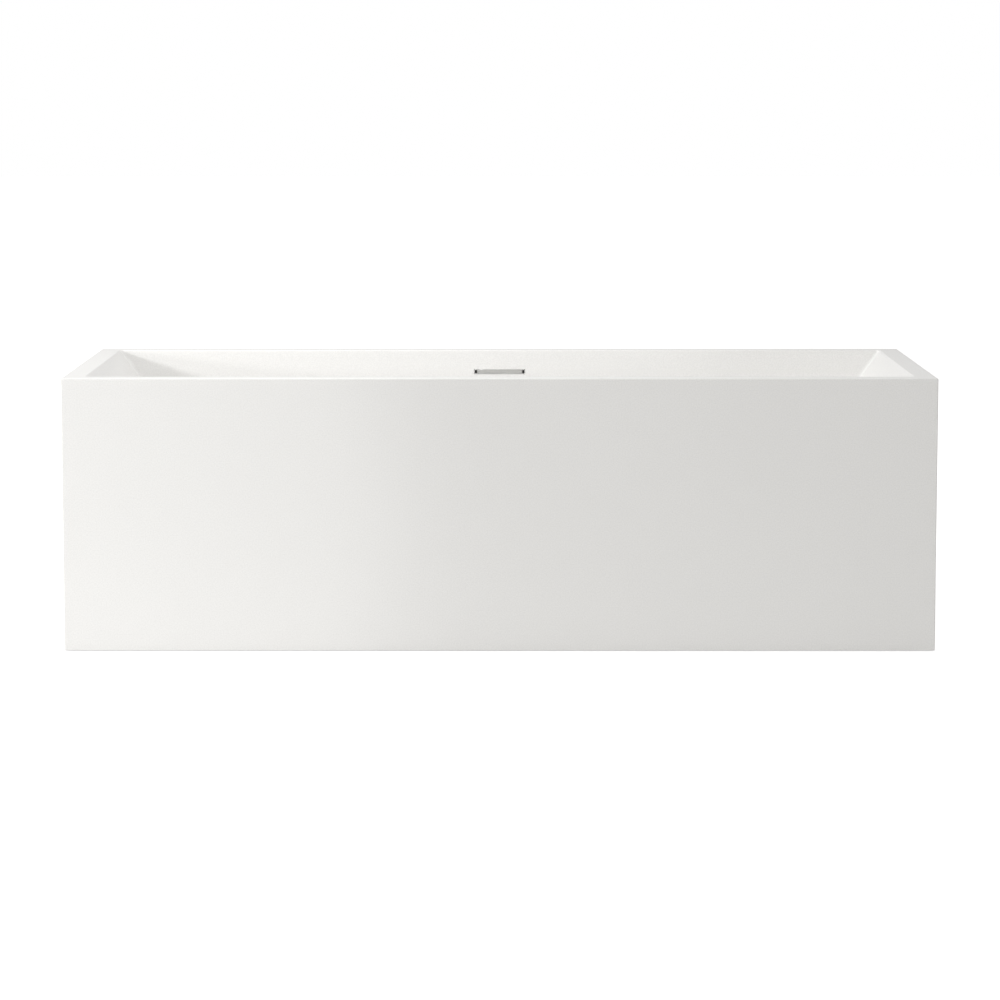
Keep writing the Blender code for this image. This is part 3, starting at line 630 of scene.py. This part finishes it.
def basin_shape():
    """The whole basin: rim, inner walls, floor falling to the waste, waste hole, underside and rim edge."""
    lip = wall_rings(
        lip_arc(OPENING_X, END_SLOPE),
        lip_arc(OPENING_Y, SIDE_SLOPE),
        [CREASE_ROUND + LIP_ROUND * (1 - i / ARC_STEPS) for i in range(ARC_STEPS + 1)],
    )
    grow = FLOOR_CORNER_ROUND - CREASE_ROUND
    radii = [CREASE_ROUND + grow * (i / FILLET_STEPS) ** 2 for i in range(FILLET_STEPS + 1)]
    inside = wall_rings(
        fillet_arc(OPENING_X, END_SLOPE, FLOOR_FILLET, FLOOR_AT_EDGE),
        fillet_arc(OPENING_Y, SIDE_SLOPE, FLOOR_FILLET, FLOOR_AT_EDGE),
        radii,
    )
    dish_lip = round_waste(DISH_RADIUS + DISH_EDGE, FLOOR_AT_DRAIN)
    floor = []
    for ring in range(1, FLOOR_RINGS):
        share = ring / FLOOR_RINGS
        fall = share * share * (3 - 2 * share)
        points = [edge.lerp(rim, share) for edge, rim in zip(inside[-1], dish_lip)]
        z = FLOOR_AT_EDGE + (FLOOR_AT_DRAIN - FLOOR_AT_EDGE) * fall
        floor.append([Vector((point.x, point.y, z)) for point in points])
    waste_hole = []
    for step in range(ARC_STEPS // 2 + 1):
        turn = math.pi * step / ARC_STEPS
        radius = DISH_RADIUS + DISH_EDGE * (1 - math.sin(turn))
        waste_hole.append(round_waste(radius, FLOOR_AT_DRAIN - DISH_EDGE * (1 - math.cos(turn))))
    for radius, z in ((DISH_RADIUS, DISH_FLOOR), (DRAIN_HOLE, DISH_FLOOR), (DRAIN_HOLE, FLOOR_UNDER)):
        waste_hole.append(round_waste(radius, z))
    outer_x = OPENING_X + BASIN_WALL / math.cos(END_SLOPE)
    outer_y = OPENING_Y + BASIN_WALL / math.cos(SIDE_SLOPE)
    outer_fillet = FLOOR_FILLET + BASIN_WALL
    outside = wall_rings(
        fillet_arc(outer_x, END_SLOPE, outer_fillet, FLOOR_UNDER)[::-1],
        fillet_arc(outer_y, SIDE_SLOPE, outer_fillet, FLOOR_UNDER)[::-1],
        [radius + BASIN_WALL for radius in reversed(radii)],
    )
    under_x = outer_x - RIM_THICK * math.tan(END_SLOPE)
    under_y = outer_y - RIM_THICK * math.tan(SIDE_SLOPE)
    rim = [
        outline(under_x, under_y, CREASE_ROUND + BASIN_WALL, RIM_UNDER, RIM_UNDER),
        outline(HALF_X, HALF_Y, EDGE_ROUND, RIM_UNDER, RIM_UNDER),
    ]
    for step in range(ARC_STEPS + 1):
        turn = math.pi / 2 * step / ARC_STEPS
        inset = EDGE_ROUND * (1 - math.cos(turn))
        z = RIM_TOP - EDGE_ROUND * (1 - math.sin(turn))
        rim.append(outline(HALF_X - inset, HALF_Y - inset, EDGE_ROUND, z, z))
    return skin(lip + inside + floor + waste_hole + outside + rim, loop=True)


def make_basin():
    """The basin, with the overflow's slot and screw holes cut through its back wall."""
    before_wall, behind_wall = 0.300, 0.350
    slot_low = (TRIM_LOW.x - GAP, before_wall, TRIM_LOW.z - GAP)
    slot_high = (TRIM_HIGH.x + GAP, behind_wall, TRIM_HIGH.z + GAP)
    holes = [("DIFFERENCE", block(slot_low, slot_high))]
    for name in SCREWS:
        low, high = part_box(name)
        middle = (low + high) / 2
        start = (middle.x, low.y - GAP, middle.z)
        holes.append(("DIFFERENCE", rod(SCREW_HOLE, start, (middle.x, behind_wall, middle.z))))
    fine_piece("basin", basin_shape(), holes)


# ---------------- panels
def make_panels():
    """Four panels that meet in mitres on the tub's rounded vertical edges."""
    corner_x, corner_y = HALF_X - EDGE_ROUND, HALF_Y - EDGE_ROUND
    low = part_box("front_panel")[0].z
    mitre = math.pi / 4

    def arc(from_angle, to_angle, side_x, side_y):
        points = []
        for step in range(ARC_STEPS + 1):
            angle = from_angle + (to_angle - from_angle) * step / ARC_STEPS
            x = corner_x + EDGE_ROUND * math.cos(angle)
            y = corner_y + EDGE_ROUND * math.sin(angle)
            points.append((side_x * x, side_y * y))
        return points

    inner_x, inner_y = HALF_X - PANEL_WALL, HALF_Y - PANEL_WALL
    for node, side in (("front_panel", -1), ("back_panel", 1)):
        points = arc(mitre, 2 * mitre, 1, side)
        points += arc(2 * mitre, mitre, -1, side)
        points += [(-inner_x, side * inner_y), (inner_x, side * inner_y)]
        fine_piece(node, panel_shape(points, low))
    for node, side in (("left_end_panel", -1), ("right_end_panel", 1)):
        points = arc(mitre, 0, side, 1)
        points += arc(0, mitre, side, -1)
        points += [(side * inner_x, -inner_y), (side * inner_x, inner_y)]
        fine_piece(node, panel_shape(points, low))


def panel_shape(points, low):
    """A panel from its plan, drawn up to the rim, with its lower edges rounded."""
    lower_edge = 0.001
    shape = prism(points, low, RIM_UNDER)
    edges = [edge for edge in shape.edges if all(vert.co.z < low + GAP for vert in edge.verts)]
    bmesh.ops.bevel(shape, geom=edges, offset=lower_edge, segments=3, profile=0.5, affect="EDGES")
    return shape


# ---------------- waste
def make_waste():
    """The fixed pieces of the waste, all turned about its axis."""
    body_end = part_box("drain_flange")[0].z
    lip_edge, crown_inset, throat, rib_bite = 0.001, 0.0085, 0.0037, 0.001
    flange = [(LIP_RADIUS, SEAT), (LIP_RADIUS, SEAT + LIP_THICK - lip_edge)]
    flange += [(LIP_RADIUS - lip_edge, SEAT + LIP_THICK - lip_edge / 2)]
    flange += [(LIP_RADIUS - crown_inset, SEAT + LIP_THICK), (DRAIN_BORE, SEAT - throat)]
    flange += [(DRAIN_BORE, body_end), (DRAIN_BODY, body_end), (DRAIN_BODY, SEAT)]
    reach, half_rib = DRAIN_BORE + rib_bite, SPIDER_RIB / 2
    steps = []
    for half_x, half_y in ((reach, half_rib), (half_rib, reach)):
        low = (DRAIN.x - half_x, DRAIN.y - half_y, SPIDER_LOW)
        high = (DRAIN.x + half_x, DRAIN.y + half_y, SPIDER_HIGH)
        steps.append(("UNION", block(low, high)))
    steps.append(("UNION", upright_rod(SPIDER_HUB, DRAIN_AXIS, SPIDER_LOW, SPIDER_HIGH)))
    hole = upright_rod(SPIDER_HOLE, DRAIN_AXIS, SPIDER_LOW - THROUGH, SPIDER_HIGH + THROUGH)
    steps.append(("DIFFERENCE", hole))
    fine_piece("drain_flange", turned(flange, DRAIN_AXIS), steps)

    squeeze, gasket_edge = 0.0005, 0.0010
    ring_piece("drain_top_gasket", DRAIN_HOLE + squeeze, GASKET_RADIUS)
    ring_piece("drain_bottom_gasket", DRAIN_HOLE, GASKET_RADIUS, edge=gasket_edge)
    ring_piece("drain_locknut", DRAIN_BODY + GAP, LOCKNUT_RADIUS, edge=SOFT_EDGE, outline_of=ribbed)

    collar = SPIDER_HIGH + GAP
    collar_top = collar + COLLAR_HEIGHT
    low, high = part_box("click_cartridge")
    cartridge = [(CARTRIDGE_BORE, low.z), (CARTRIDGE_RADIUS, low.z), (CARTRIDGE_RADIUS, collar)]
    cartridge += [(COLLAR_RADIUS, collar), (COLLAR_RADIUS, collar_top), (CARTRIDGE_RADIUS, collar_top)]
    cartridge += [(CARTRIDGE_RADIUS, high.z), (CARTRIDGE_BORE, high.z)]
    fine_piece("click_cartridge", turned(cartridge, DRAIN_AXIS, SMALL_ROUND))


def make_stopper():
    """The click-clack stopper: a crowned cap, its lip seal and its plunger."""
    low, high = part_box("stopper_cap")
    boss, under = low.z, low.z + BOSS_DEPTH
    side_low, side_top = under + 0.0008, under + 0.0018
    chamfer, centre, squareness, dome_steps = 0.002, 0.0008, 0.55, 16
    cap = [(BOSS_RADIUS, boss), (BOSS_RADIUS, under), (CAP_RADIUS - chamfer, under), (CAP_RADIUS, side_low)]
    for step in range(dome_steps):
        turn = math.pi / 2 * step / dome_steps
        radius = CAP_RADIUS * math.cos(turn) ** squareness
        cap.append((radius, side_top + (high.z - side_top) * math.sin(turn)))
    cap.append((centre, high.z))
    fine_piece("stopper_cap", turned(cap, DRAIN_AXIS, loop=False, edge=0.0))

    seal_inner, seal_foot, seal_slope, seal_edge = BOSS_RADIUS + GAP, boss + 0.002, 0.0025, 0.0006
    seal = [(seal_inner, seal_foot), (SEAL_RADIUS - seal_slope, seal_foot)]
    seal += [(SEAL_RADIUS, seal_foot + seal_slope), (SEAL_RADIUS, under - GAP), (seal_inner, under - GAP)]
    fine_piece("stopper_seal", turned(seal, DRAIN_AXIS, edge=seal_edge))

    low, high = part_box("stopper_plunger")
    tip = 0.001
    plunger = [(PLUNGER_RADIUS - tip, low.z), (PLUNGER_RADIUS, low.z + tip), (PLUNGER_RADIUS, high.z)]
    fine_piece("stopper_plunger", turned(plunger, DRAIN_AXIS, SMALL_ROUND, loop=False))


def make_waste_tee():
    """The tee under the waste with its inlet from the overflow, then the tailpiece and its nut."""
    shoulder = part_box("drain_flange")[0].z - GAP
    tee_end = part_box("waste_tee")[0].z
    socket, neck_slope, inlet_bite = DRAIN_BODY + 0.0005, 0.003, 0.002
    cut_end, bore_start, bore_end = 0.070, 0.010, 0.030
    body = [(socket, TEE_TOP), (TEE_SOCKET, TEE_TOP), (TEE_SOCKET, TEE_NECK + neck_slope)]
    body += [(TEE_BODY, TEE_NECK), (TEE_BODY, tee_end), (TEE_BORE, tee_end)]
    body += [(TEE_BORE, shoulder), (socket, shoulder)]

    def inlet(radius, near, far):
        return rod(radius, (DRAIN.x, DRAIN.y + near, INLET_Z), (DRAIN.x, DRAIN.y + far, INLET_Z), ROUND)

    steps = [
        ("UNION", inlet(INLET_RADIUS, TEE_BODY - inlet_bite, INLET_END)),
        ("DIFFERENCE", inlet(PIPE_RADIUS + GAP, INLET_SOCKET, cut_end)),
        ("DIFFERENCE", inlet(PIPE_RADIUS - PIPE_WALL, bore_start, bore_end)),
    ]
    fine_piece("waste_tee", turned(body, DRAIN_AXIS, edge=SOFT_EDGE), steps)
    ring_piece("tailpiece", TAILPIECE_BORE, TAILPIECE_RADIUS)
    low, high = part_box("tailpiece_nut")
    cup = TEE_BODY + GAP
    nut = [(TEE_BORE, low.z), (TAIL_NUT_RADIUS, low.z), (TAIL_NUT_RADIUS, high.z), (cup, high.z)]
    nut += [(cup, tee_end - GAP), (TEE_BORE, tee_end - GAP)]
    fine_piece("tailpiece_nut", turned(nut, DRAIN_AXIS, edge=SOFT_EDGE, outline_of=ribbed))


# ---------------- overflow
def back_wall_y(z, outside=False):
    """Y of the back wall's face at a height."""
    face = OPENING_Y + (BASIN_WALL / math.cos(SIDE_SLOPE) if outside else 0)
    return face - (RIM_TOP - z) * math.tan(SIDE_SLOPE)


def upright_face(y):
    """A face that stands at the same Y at every height."""
    return lambda z: y


def upright_ring(half, low, high, corner, face_y):
    """A rounded rectangle that faces along Y. face_y gives Y at a height."""
    corners = [(-half, low), (half, low), (half, high), (-half, high)]
    return [Vector((point.x, face_y(point.y), point.y)) for point in rounded(corners, corner, steps=6)]


def make_overflow_trim():
    """A brushed sleeve that lines the slot, rolled at the front, with the baffle plate across it."""
    corner, half_wall, steps = 0.0016, TRIM_WALL / 2, 8

    def ring(inset, face_y):
        return upright_ring(
            TRIM_HIGH.x - inset, TRIM_LOW.z + inset, TRIM_HIGH.z - inset, corner - inset, face_y
        )

    def front(forward):
        return lambda z: back_wall_y(z) - TRIM_PROUD + half_wall - forward

    rings = [ring(0, upright_face(TRIM_HIGH.y))]
    for step in range(steps + 1):
        turn = math.pi * step / steps
        rings.append(ring(half_wall * (1 - math.cos(turn)), front(half_wall * math.sin(turn))))
    rings.append(ring(TRIM_WALL, upright_face(TRIM_HIGH.y)))
    plate_low = (-BAFFLE_HALF, BAFFLE_FRONT, TRIM_LOW.z + half_wall)
    plate_high = (BAFFLE_HALF, BAFFLE_FRONT + BAFFLE_THICK, TRIM_HIGH.z - half_wall)
    fine_piece("overflow_trim", skin(rings, loop=True), [("UNION", block(plate_low, plate_high))])


def screw_holes(reach):
    """Cuts for the two overflow screws, as far as reach before and behind their middles."""
    middles = [(low + high) / 2 for low, high in map(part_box, SCREWS)]
    return [("DIFFERENCE", rod(SCREW_HOLE, middle - reach, middle + reach)) for middle in middles]


def make_overflow_box():
    """The tapered gasket behind the wall, and the housing with its flange, two ribs and spigot."""
    low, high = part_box("overflow_box")
    gasket_low, gasket_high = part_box("overflow_gasket")
    flange = (high.x, gasket_low.z, gasket_high.z, FLANGE_CORNER)
    outside = (BOX_HALF, BOX_LOW, BOX_HIGH, BOX_CORNER + BOX_WALL)
    cavity_low = BOX_LOW + BOX_WALL
    inside = (BOX_HALF - BOX_WALL, cavity_low, BOX_HIGH - BOX_WALL, BOX_CORNER)
    screw_reach = Vector((0, 0.04, 0))
    rib_x, rib_half, rib_stop, rib_proud = 0.036, 0.001, 0.004, 0.0009
    flange_edge, body_edge = 0.0006, 0.0012

    def wall_face(z):
        return back_wall_y(z, outside=True) + GAP

    def slab(ring, near, far):
        return skin([upright_ring(*ring, upright_face(y)) for y in (near, far)])

    gasket_back = upright_face(low.y - GAP)
    rings = [upright_ring(*flange, wall_face), upright_ring(*flange, gasket_back)]
    rings += [upright_ring(*inside, gasket_back), upright_ring(*inside, wall_face)]
    fine_piece("overflow_gasket", skin(rings, loop=True), screw_holes(screw_reach))

    steps = [("UNION", soften(slab(outside, low.y + GAP, high.y), body_edge))]
    for x in (-rib_x, rib_x):
        rib_start = (x - rib_half, low.y + GAP, BOX_HIGH - THROUGH / 2)
        rib_end = (x + rib_half, high.y - rib_stop, BOX_HIGH + rib_proud)
        steps.append(("UNION", block(rib_start, rib_end)))
    spigot = upright_rod(PIPE_RADIUS, (0, PIPE_Y), low.z, BOX_LOW + BOX_WALL / 2, ROUND)
    bore_radius = PIPE_RADIUS - PIPE_WALL
    bore = upright_rod(bore_radius, (0, PIPE_Y), low.z - THROUGH, cavity_low + THROUGH, ROUND)
    cavity = slab(inside, low.y - THROUGH, high.y - BOX_WALL)
    steps += [("UNION", spigot), ("DIFFERENCE", cavity), ("DIFFERENCE", bore)]
    steps += screw_holes(screw_reach)
    fine_piece("overflow_box", soften(slab(flange, low.y, low.y + FLANGE_THICK), flange_edge), steps)


def make_overflow_screws():
    """Pan-head screws with a cross recess, driven from behind."""
    tip, point, shank, head, edge = 0.0008, 0.002, 0.0020, 0.0040, 0.0003
    head_height, side_drop, crown_drop, crown_share = 0.0025, 0.0012, 0.0004, 0.82
    arm, arm_share, depth = 0.0007, 0.62, 0.0014
    for name in SCREWS:
        low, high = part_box(name)
        length = high.y - low.y
        under_head = length - head_height
        profile = [(tip, 0), (shank, point), (shank, under_head), (head, under_head)]
        profile += [(head, length - side_drop), (head * crown_share, length - crown_drop), (tip, length)]
        shape = turned(profile, (0, 0), SMALL_ROUND, loop=False, edge=edge)
        middle = (low + high) / 2
        recess = []
        for half_x, half_z in ((head * arm_share, arm), (arm, head * arm_share)):
            start = (middle.x - half_x, high.y - depth, middle.z - half_z)
            end = (middle.x + half_x, high.y + THROUGH, middle.z + half_z)
            recess.append(("DIFFERENCE", block(start, end)))
        fine_piece(name, laid_along_y(shape, (middle.x, low.y, middle.z)), recess)


def pipe_route():
    """(y, z) points down behind the wall, round a bend and forward to the tee, each with its direction."""
    low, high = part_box("overflow_pipe")
    bend_top, bend_steps = INLET_Z + PIPE_BEND, 24
    route = [((PIPE_Y, high.z), 0.0)]
    for step in range(bend_steps + 1):
        turn = math.pi / 2 * step / bend_steps
        y = PIPE_Y - PIPE_BEND + PIPE_BEND * math.cos(turn)
        route.append(((y, bend_top - PIPE_BEND * math.sin(turn)), turn))
    route.append(((low.y, INLET_Z), math.pi / 2))
    return route


def make_overflow_pipe():
    """The overflow pipe, with a ribbed compression nut at each end."""
    def section(radius):
        rings = []
        for (y, z), turn in pipe_route():
            along_y, along_z = math.cos(turn), -math.sin(turn)
            ring = circle(radius, 0, SMALL_ROUND)
            rings.append([Vector((p.x, y + p.y * along_y, z + p.y * along_z)) for p in ring])
        return rings

    rings = section(PIPE_RADIUS) + section(PIPE_RADIUS - PIPE_WALL)[::-1]
    fine_piece("overflow_pipe", skin(rings, loop=True))

    bore = PIPE_RADIUS + GAP
    ring_piece("overflow_nut_top", bore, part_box("overflow_nut_top")[1].x, (0, PIPE_Y), SOFT_EDGE, ribbed)

    low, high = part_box("overflow_nut_bottom")
    cup, end_wall, length, outer = INLET_RADIUS + GAP, 0.004, high.y - low.y, high.x
    cap = [(bore, 0), (outer, 0), (outer, -length), (cup, -length), (cup, -end_wall), (bore, -end_wall)]
    shape = turned(cap, (0, 0), edge=SOFT_EDGE, outline_of=ribbed)
    fine_piece("overflow_nut_bottom", laid_along_y(shape, (0, high.y, INLET_Z)))


# ---------------- panels' stiffeners
def make_corner_strips():
    """An acrylic angle bonded inside each corner of the panels."""
    leg, thick, outer_round, inner_round, edge = 0.025, 0.003, 0.0008, 0.0025, 0.0005
    for across, side_y in ACROSS.items():
        for along, side_x in (("left", -1), ("right", 1)):
            name = f"corner_strip_{across}_{along}"
            low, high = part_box(name)
            corner_x = max(abs(low.x), abs(high.x))
            corner_y = max(abs(low.y), abs(high.y))
            steps = [(0, 0), (leg, 0), (leg, thick), (thick, thick), (thick, leg), (0, leg)]
            points = [(side_x * (corner_x - x), side_y * (corner_y - y)) for x, y in steps]
            points = rounded(points, [outer_round, 0, 0, inner_round, 0, 0])
            fine_piece(name, prism(points, low.z, high.z, edge))


def make_rim_battens():
    edge = 0.0012
    for across in ACROSS:
        name = f"rim_batten_{across}"
        fine_piece(name, block(*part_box(name), edge))


def make_panel_brackets():
    """A bent steel plate from each outer end of the cross rails to the long panels."""
    thick, bend = 0.002, 0.003
    for across, side in ACROSS.items():
        for along in ("left", "right"):
            name = f"panel_bracket_{across}_{along}"
            low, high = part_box(name)
            near, face = sorted((abs(low.y), abs(high.y)))
            section = [(near, low.z), (face, low.z), (face, high.z), (face - thick, high.z)]
            section += [(face - thick, low.z + thick), (near, low.z + thick)]
            points = rounded(section, [0, bend + thick, 0, 0, bend, 0], steps=6)
            shape = skin([[Vector((x, side * p.x, p.y)) for p in points] for x in (low.x, high.x)])
            fine_piece(name, soften(shape, FINE_EDGE))


# ---------------- under-frame
def tube(half, middle, axis):
    """A square tube along X or Y with rounded corners, open at both ends."""
    outer_round, inner_round, edge = 0.0035, 0.0015, 0.0003

    def ring(size, corner, end):
        flat = rounded([(size, size), (-size, size), (-size, -size), (size, -size)], corner, steps=5)
        if axis == "X":
            return [middle + Vector((end, p.x, p.y)) for p in flat]
        return [middle + Vector((p.x, end, p.y)) for p in flat]

    across = RAIL / 2
    inside = across - RAIL_WALL
    rings = [ring(across, outer_round, -half), ring(across, outer_round, half)]
    rings += [ring(inside, inner_round, half), ring(inside, inner_round, -half)]
    return soften(skin(rings, loop=True), edge, segments=2)


def make_frame():
    for across in ACROSS:
        name = f"long_rail_{across}"
        low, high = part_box(name)
        fine_piece(name, tube(high.x, Vector((0, (low.y + high.y) / 2, (low.z + high.z) / 2)), "X"))
    for along in ALONG:
        name = f"cross_rail_{along}"
        low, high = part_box(name)
        holes = []
        for across in ACROSS:
            foot = foot_axis(f"foot_stud_{across}_{along}")
            holes.append(("DIFFERENCE", upright_rod(STUD_HOLE, foot, low.z - THROUGH, high.z + THROUGH)))
        fine_piece(name, tube(high.y, (low + high) / 2, "Y"), holes)


def make_base_board():
    """Plywood under the basin's floor, with a round cut-out for the waste."""
    low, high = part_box("base_board")
    corner, edge, cutout = 0.020, 0.0010, 0.045

    def plan(inset, z):
        return outline(high.x - inset, high.y - inset, corner - inset, z, z)

    rings = [plan(edge, low.z), plan(0, low.z + edge), plan(0, high.z - edge), plan(edge, high.z)]
    for grow, z in ((edge, high.z), (0, high.z - edge), (0, low.z + edge), (edge, low.z)):
        rings.append(round_waste(cutout + grow, z))
    fine_piece("base_board", skin(rings, loop=True))


# ---------------- levelling feet
def foot_axis(node):
    """(x, y) of a foot's axis."""
    low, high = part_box(node)
    return ((low.x + high.x) / 2, (low.y + high.y) / 2)


def thread_wall(shape, low, high, count):
    """The wall of a screw thread that runs up a helix and fades to its root at both ends."""
    # (share of the pitch, share of the depth) at both ends of the root and of the crest
    profile = ((0.0, 0.0), (0.125, 0.0), (0.4375, 1.0), (0.6875, 1.0))
    turns = int((high - low) / THREAD_PITCH) + 2
    rows = []
    for turn in range(-1, turns + 1):
        for share, depth in profile:
            row = []
            for i in range(count):
                angle = math.tau * i / count
                z = low + THREAD_PITCH * (turn + share + i / count)
                run_out = min(1.0, max(0.0, min(z - low, high - z) / THREAD_PITCH))
                radius = STUD_RADIUS - THREAD_DEPTH * (1 - (1 - depth) * run_out)
                z = min(max(z, low), high)
                row.append(shape.verts.new((radius * math.cos(angle), radius * math.sin(angle), z)))
            rows.append(row)
    points = len(profile)
    for k in range(len(rows) - points - 1):
        for i in range(count):
            if i + 1 < count:
                corners = (rows[k][i], rows[k][i + 1], rows[k + 1][i + 1], rows[k + 1][i])
            else:
                corners = (rows[k][i], rows[k + points][0], rows[k + points + 1][0], rows[k + 1][i])
            shape.faces.new(corners)


def threaded_stud(low, high, hex_low, hex_high):
    """An M12 stud about the vertical axis, with a hexagon between its two threads."""
    across_flats, count, weld = 0.017, 24, 1e-5
    shape = bmesh.new()
    for start, end in ((low, hex_low), (hex_high, high)):
        thread_wall(shape, start, end, count)
    bmesh.ops.remove_doubles(shape, verts=shape.verts, dist=weld)
    bmesh.ops.dissolve_degenerate(shape, edges=shape.edges, dist=weld)
    root = STUD_RADIUS - THREAD_DEPTH
    body = chamfered_hexagon(across_flats, hex_low, hex_high, count)
    rings = [circle(root, hex_low, count), *body, circle(root, hex_high, count)]
    rows = [[shape.verts.new(point) for point in ring] for ring in rings]
    for near, far in zip(rows, rows[1:]):
        bridge(shape, near, far)
    bmesh.ops.remove_doubles(shape, verts=shape.verts, dist=weld)
    bmesh.ops.holes_fill(shape, edges=shape.edges, sides=0)
    return shape


def make_feet():
    """Six feet: a ribbed pad, an M12 stud and its lock nut each."""
    nut_across, nut_bevel = 0.019, 0.0005
    hex_low, hex_high = 0.016, 0.023
    pad_bevel, pad_side, neck_radius, pad_edge = 0.001, 0.005, 0.012, 0.0006
    for along in ALONG:
        for across in ACROSS:
            pad, stud, nut = (f"foot_{piece}_{across}_{along}" for piece in ("pad", "stud", "nut"))
            middle = foot_axis(pad)
            low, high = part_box(pad)
            radius = (high.x - low.x) / 2
            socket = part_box(stud)[0].z - GAP
            profile = [(radius - pad_bevel, low.z), (radius, low.z + pad_bevel), (radius, pad_side)]
            profile += [(neck_radius, high.z), (STUD_HOLE, high.z), (STUD_HOLE, socket)]
            fine_piece(pad, turned(profile, middle, loop=False, edge=pad_edge, outline_of=foot_ribs))

            low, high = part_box(stud)
            shape = threaded_stud(low.z, high.z, hex_low, hex_high)
            bmesh.ops.translate(shape, vec=(*middle, 0), verts=shape.verts)
            fine_piece(stud, shape)

            low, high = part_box(nut)
            rings = chamfered_hexagon(nut_across, low.z, high.z, SMALL_ROUND)
            bevelled = STUD_HOLE + nut_bevel
            for radius, z in (
                (bevelled, high.z), (STUD_HOLE, high.z - nut_bevel),
                (STUD_HOLE, low.z + nut_bevel), (bevelled, low.z),
            ):
                rings.append(circle(radius, z, SMALL_ROUND))
            shape = skin(rings, loop=True)
            bmesh.ops.translate(shape, vec=(*middle, 0), verts=shape.verts)
            fine_piece(nut, shape)


# ---------------- everything
def make_floor():
    """A plain pale floor, not part of the object. Its glow lifts it to white and lights nothing else."""
    shape = bmesh.new()
    bmesh.ops.create_grid(shape, x_segments=1, y_segments=1, size=FLOOR_HALF)
    floor = add_mesh("studio_floor", shape)
    paint = Paint("studio_floor_paint", Roughness=0.9, Specular_IOR_Level=0.1)
    cloud = paint.ranged(paint.noise(1.5, 3.0), 0.0, 1.0)
    paint.colour(paint.blended(cloud, (0.900, 0.898, 0.893), (0.885, 0.883, 0.878)))
    path = add_node(paint.tree, "ShaderNodeLightPath")
    glow = paint.ranged(path.outputs["Is Camera Ray"], 0.0, FLOOR_GLOW, 0.0, 1.0)
    set_inputs(paint.shader, Emission_Color=(1.0, 1.0, 1.0, 1.0), Emission_Strength=glow)
    floor.data.materials.append(paint.material)


def add_light(name, kind, place, aim, power):
    """A light of one of Blender's kinds, looking at a point."""
    light = bpy.data.lights.new(name, kind)
    light.energy = power
    item = add_object(name, light)
    item.location = place
    item.rotation_euler = (Vector(aim) - Vector(place)).to_track_quat("-Z", "Y").to_euler()
    return light


def area_light(name, place, aim, size, power):
    """A soft rectangular light."""
    light = add_light(name, "AREA", place, aim, power)
    light.shape = "RECTANGLE"
    light.size, light.size_y = size


def spot_light(name, place, aim, radius, cone, blend, power):
    """A spot whose cone, in degrees, fades out over the blend's share of it."""
    light = add_light(name, "SPOT", place, aim, power)
    light.shadow_soft_size = radius
    light.spot_size = math.radians(cone)
    light.spot_blend = blend


def make_world():
    """White behind everything that the camera sees, and a dimmer even light on the object."""
    world = bpy.data.worlds.new("studio_world")
    bpy.context.scene.world = world
    world.use_nodes = True
    tree = world.node_tree
    tree.nodes.clear()
    backdrop = add_node(tree, "ShaderNodeBackground", Color=(1.0, 1.0, 1.0, 1.0))
    light = add_node(tree, "ShaderNodeBackground", Color=(1.0, 0.995, 0.985, 1.0), Strength=WORLD_LIGHT)
    path = add_node(tree, "ShaderNodeLightPath")
    mix = add_node(tree, "ShaderNodeMixShader", Fac=path.outputs["Is Camera Ray"])
    tree.links.new(light.outputs["Background"], mix.inputs[1])
    tree.links.new(backdrop.outputs["Background"], mix.inputs[2])
    add_node(tree, "ShaderNodeOutputWorld", Surface=mix.outputs["Shader"])


def make_studio():
    make_world()
    make_floor()
    area_light("low_left_window", (-4.8, -2.87, 1.9), (-0.3, 0.1, 0.4), (0.4, 0.4), 101.0)
    area_light("overhead_softbox", (-0.6, -0.3, 2.2), (-0.3, 0.3, 0.3), (1.0, 0.6), 15.8)
    area_light("back_softbox", (0.0, 4.0, 2.2), (0.0, 0.0, 0.35), (4.0, 2.0), 6.6)
    spot_light("left_pool", (-3.0, -3.3, 0.8), (-1.67, 0.45, 0.27), 0.1, 50.0, 0.15, 72.0)
    bpy.context.scene.view_settings.view_transform = "Standard"


def make_camera():
    data = bpy.data.cameras.new("front_camera")
    data.lens = CAMERA_LENS
    data.sensor_width = 36.0
    data.clip_end = 100.0
    camera = add_object("front_camera", data)
    camera.location = CAMERA_PLACE
    camera.rotation_euler = (math.pi / 2 - CAMERA_PITCH, 0.0, 0.0)
    bpy.context.scene.camera = camera


MATERIALS = make_materials()
make_basin()
make_panels()
make_corner_strips()
make_rim_battens()
make_panel_brackets()
make_frame()
make_base_board()
make_feet()
make_waste()
make_stopper()
make_waste_tee()
make_overflow_trim()
make_overflow_box()
make_overflow_screws()
make_overflow_pipe()
for node in frame["nodes"].values():
    for material_slot in node.material_slots:
        material_slot.material = MATERIALS[slot_of(node.name)]
make_studio()
make_camera()
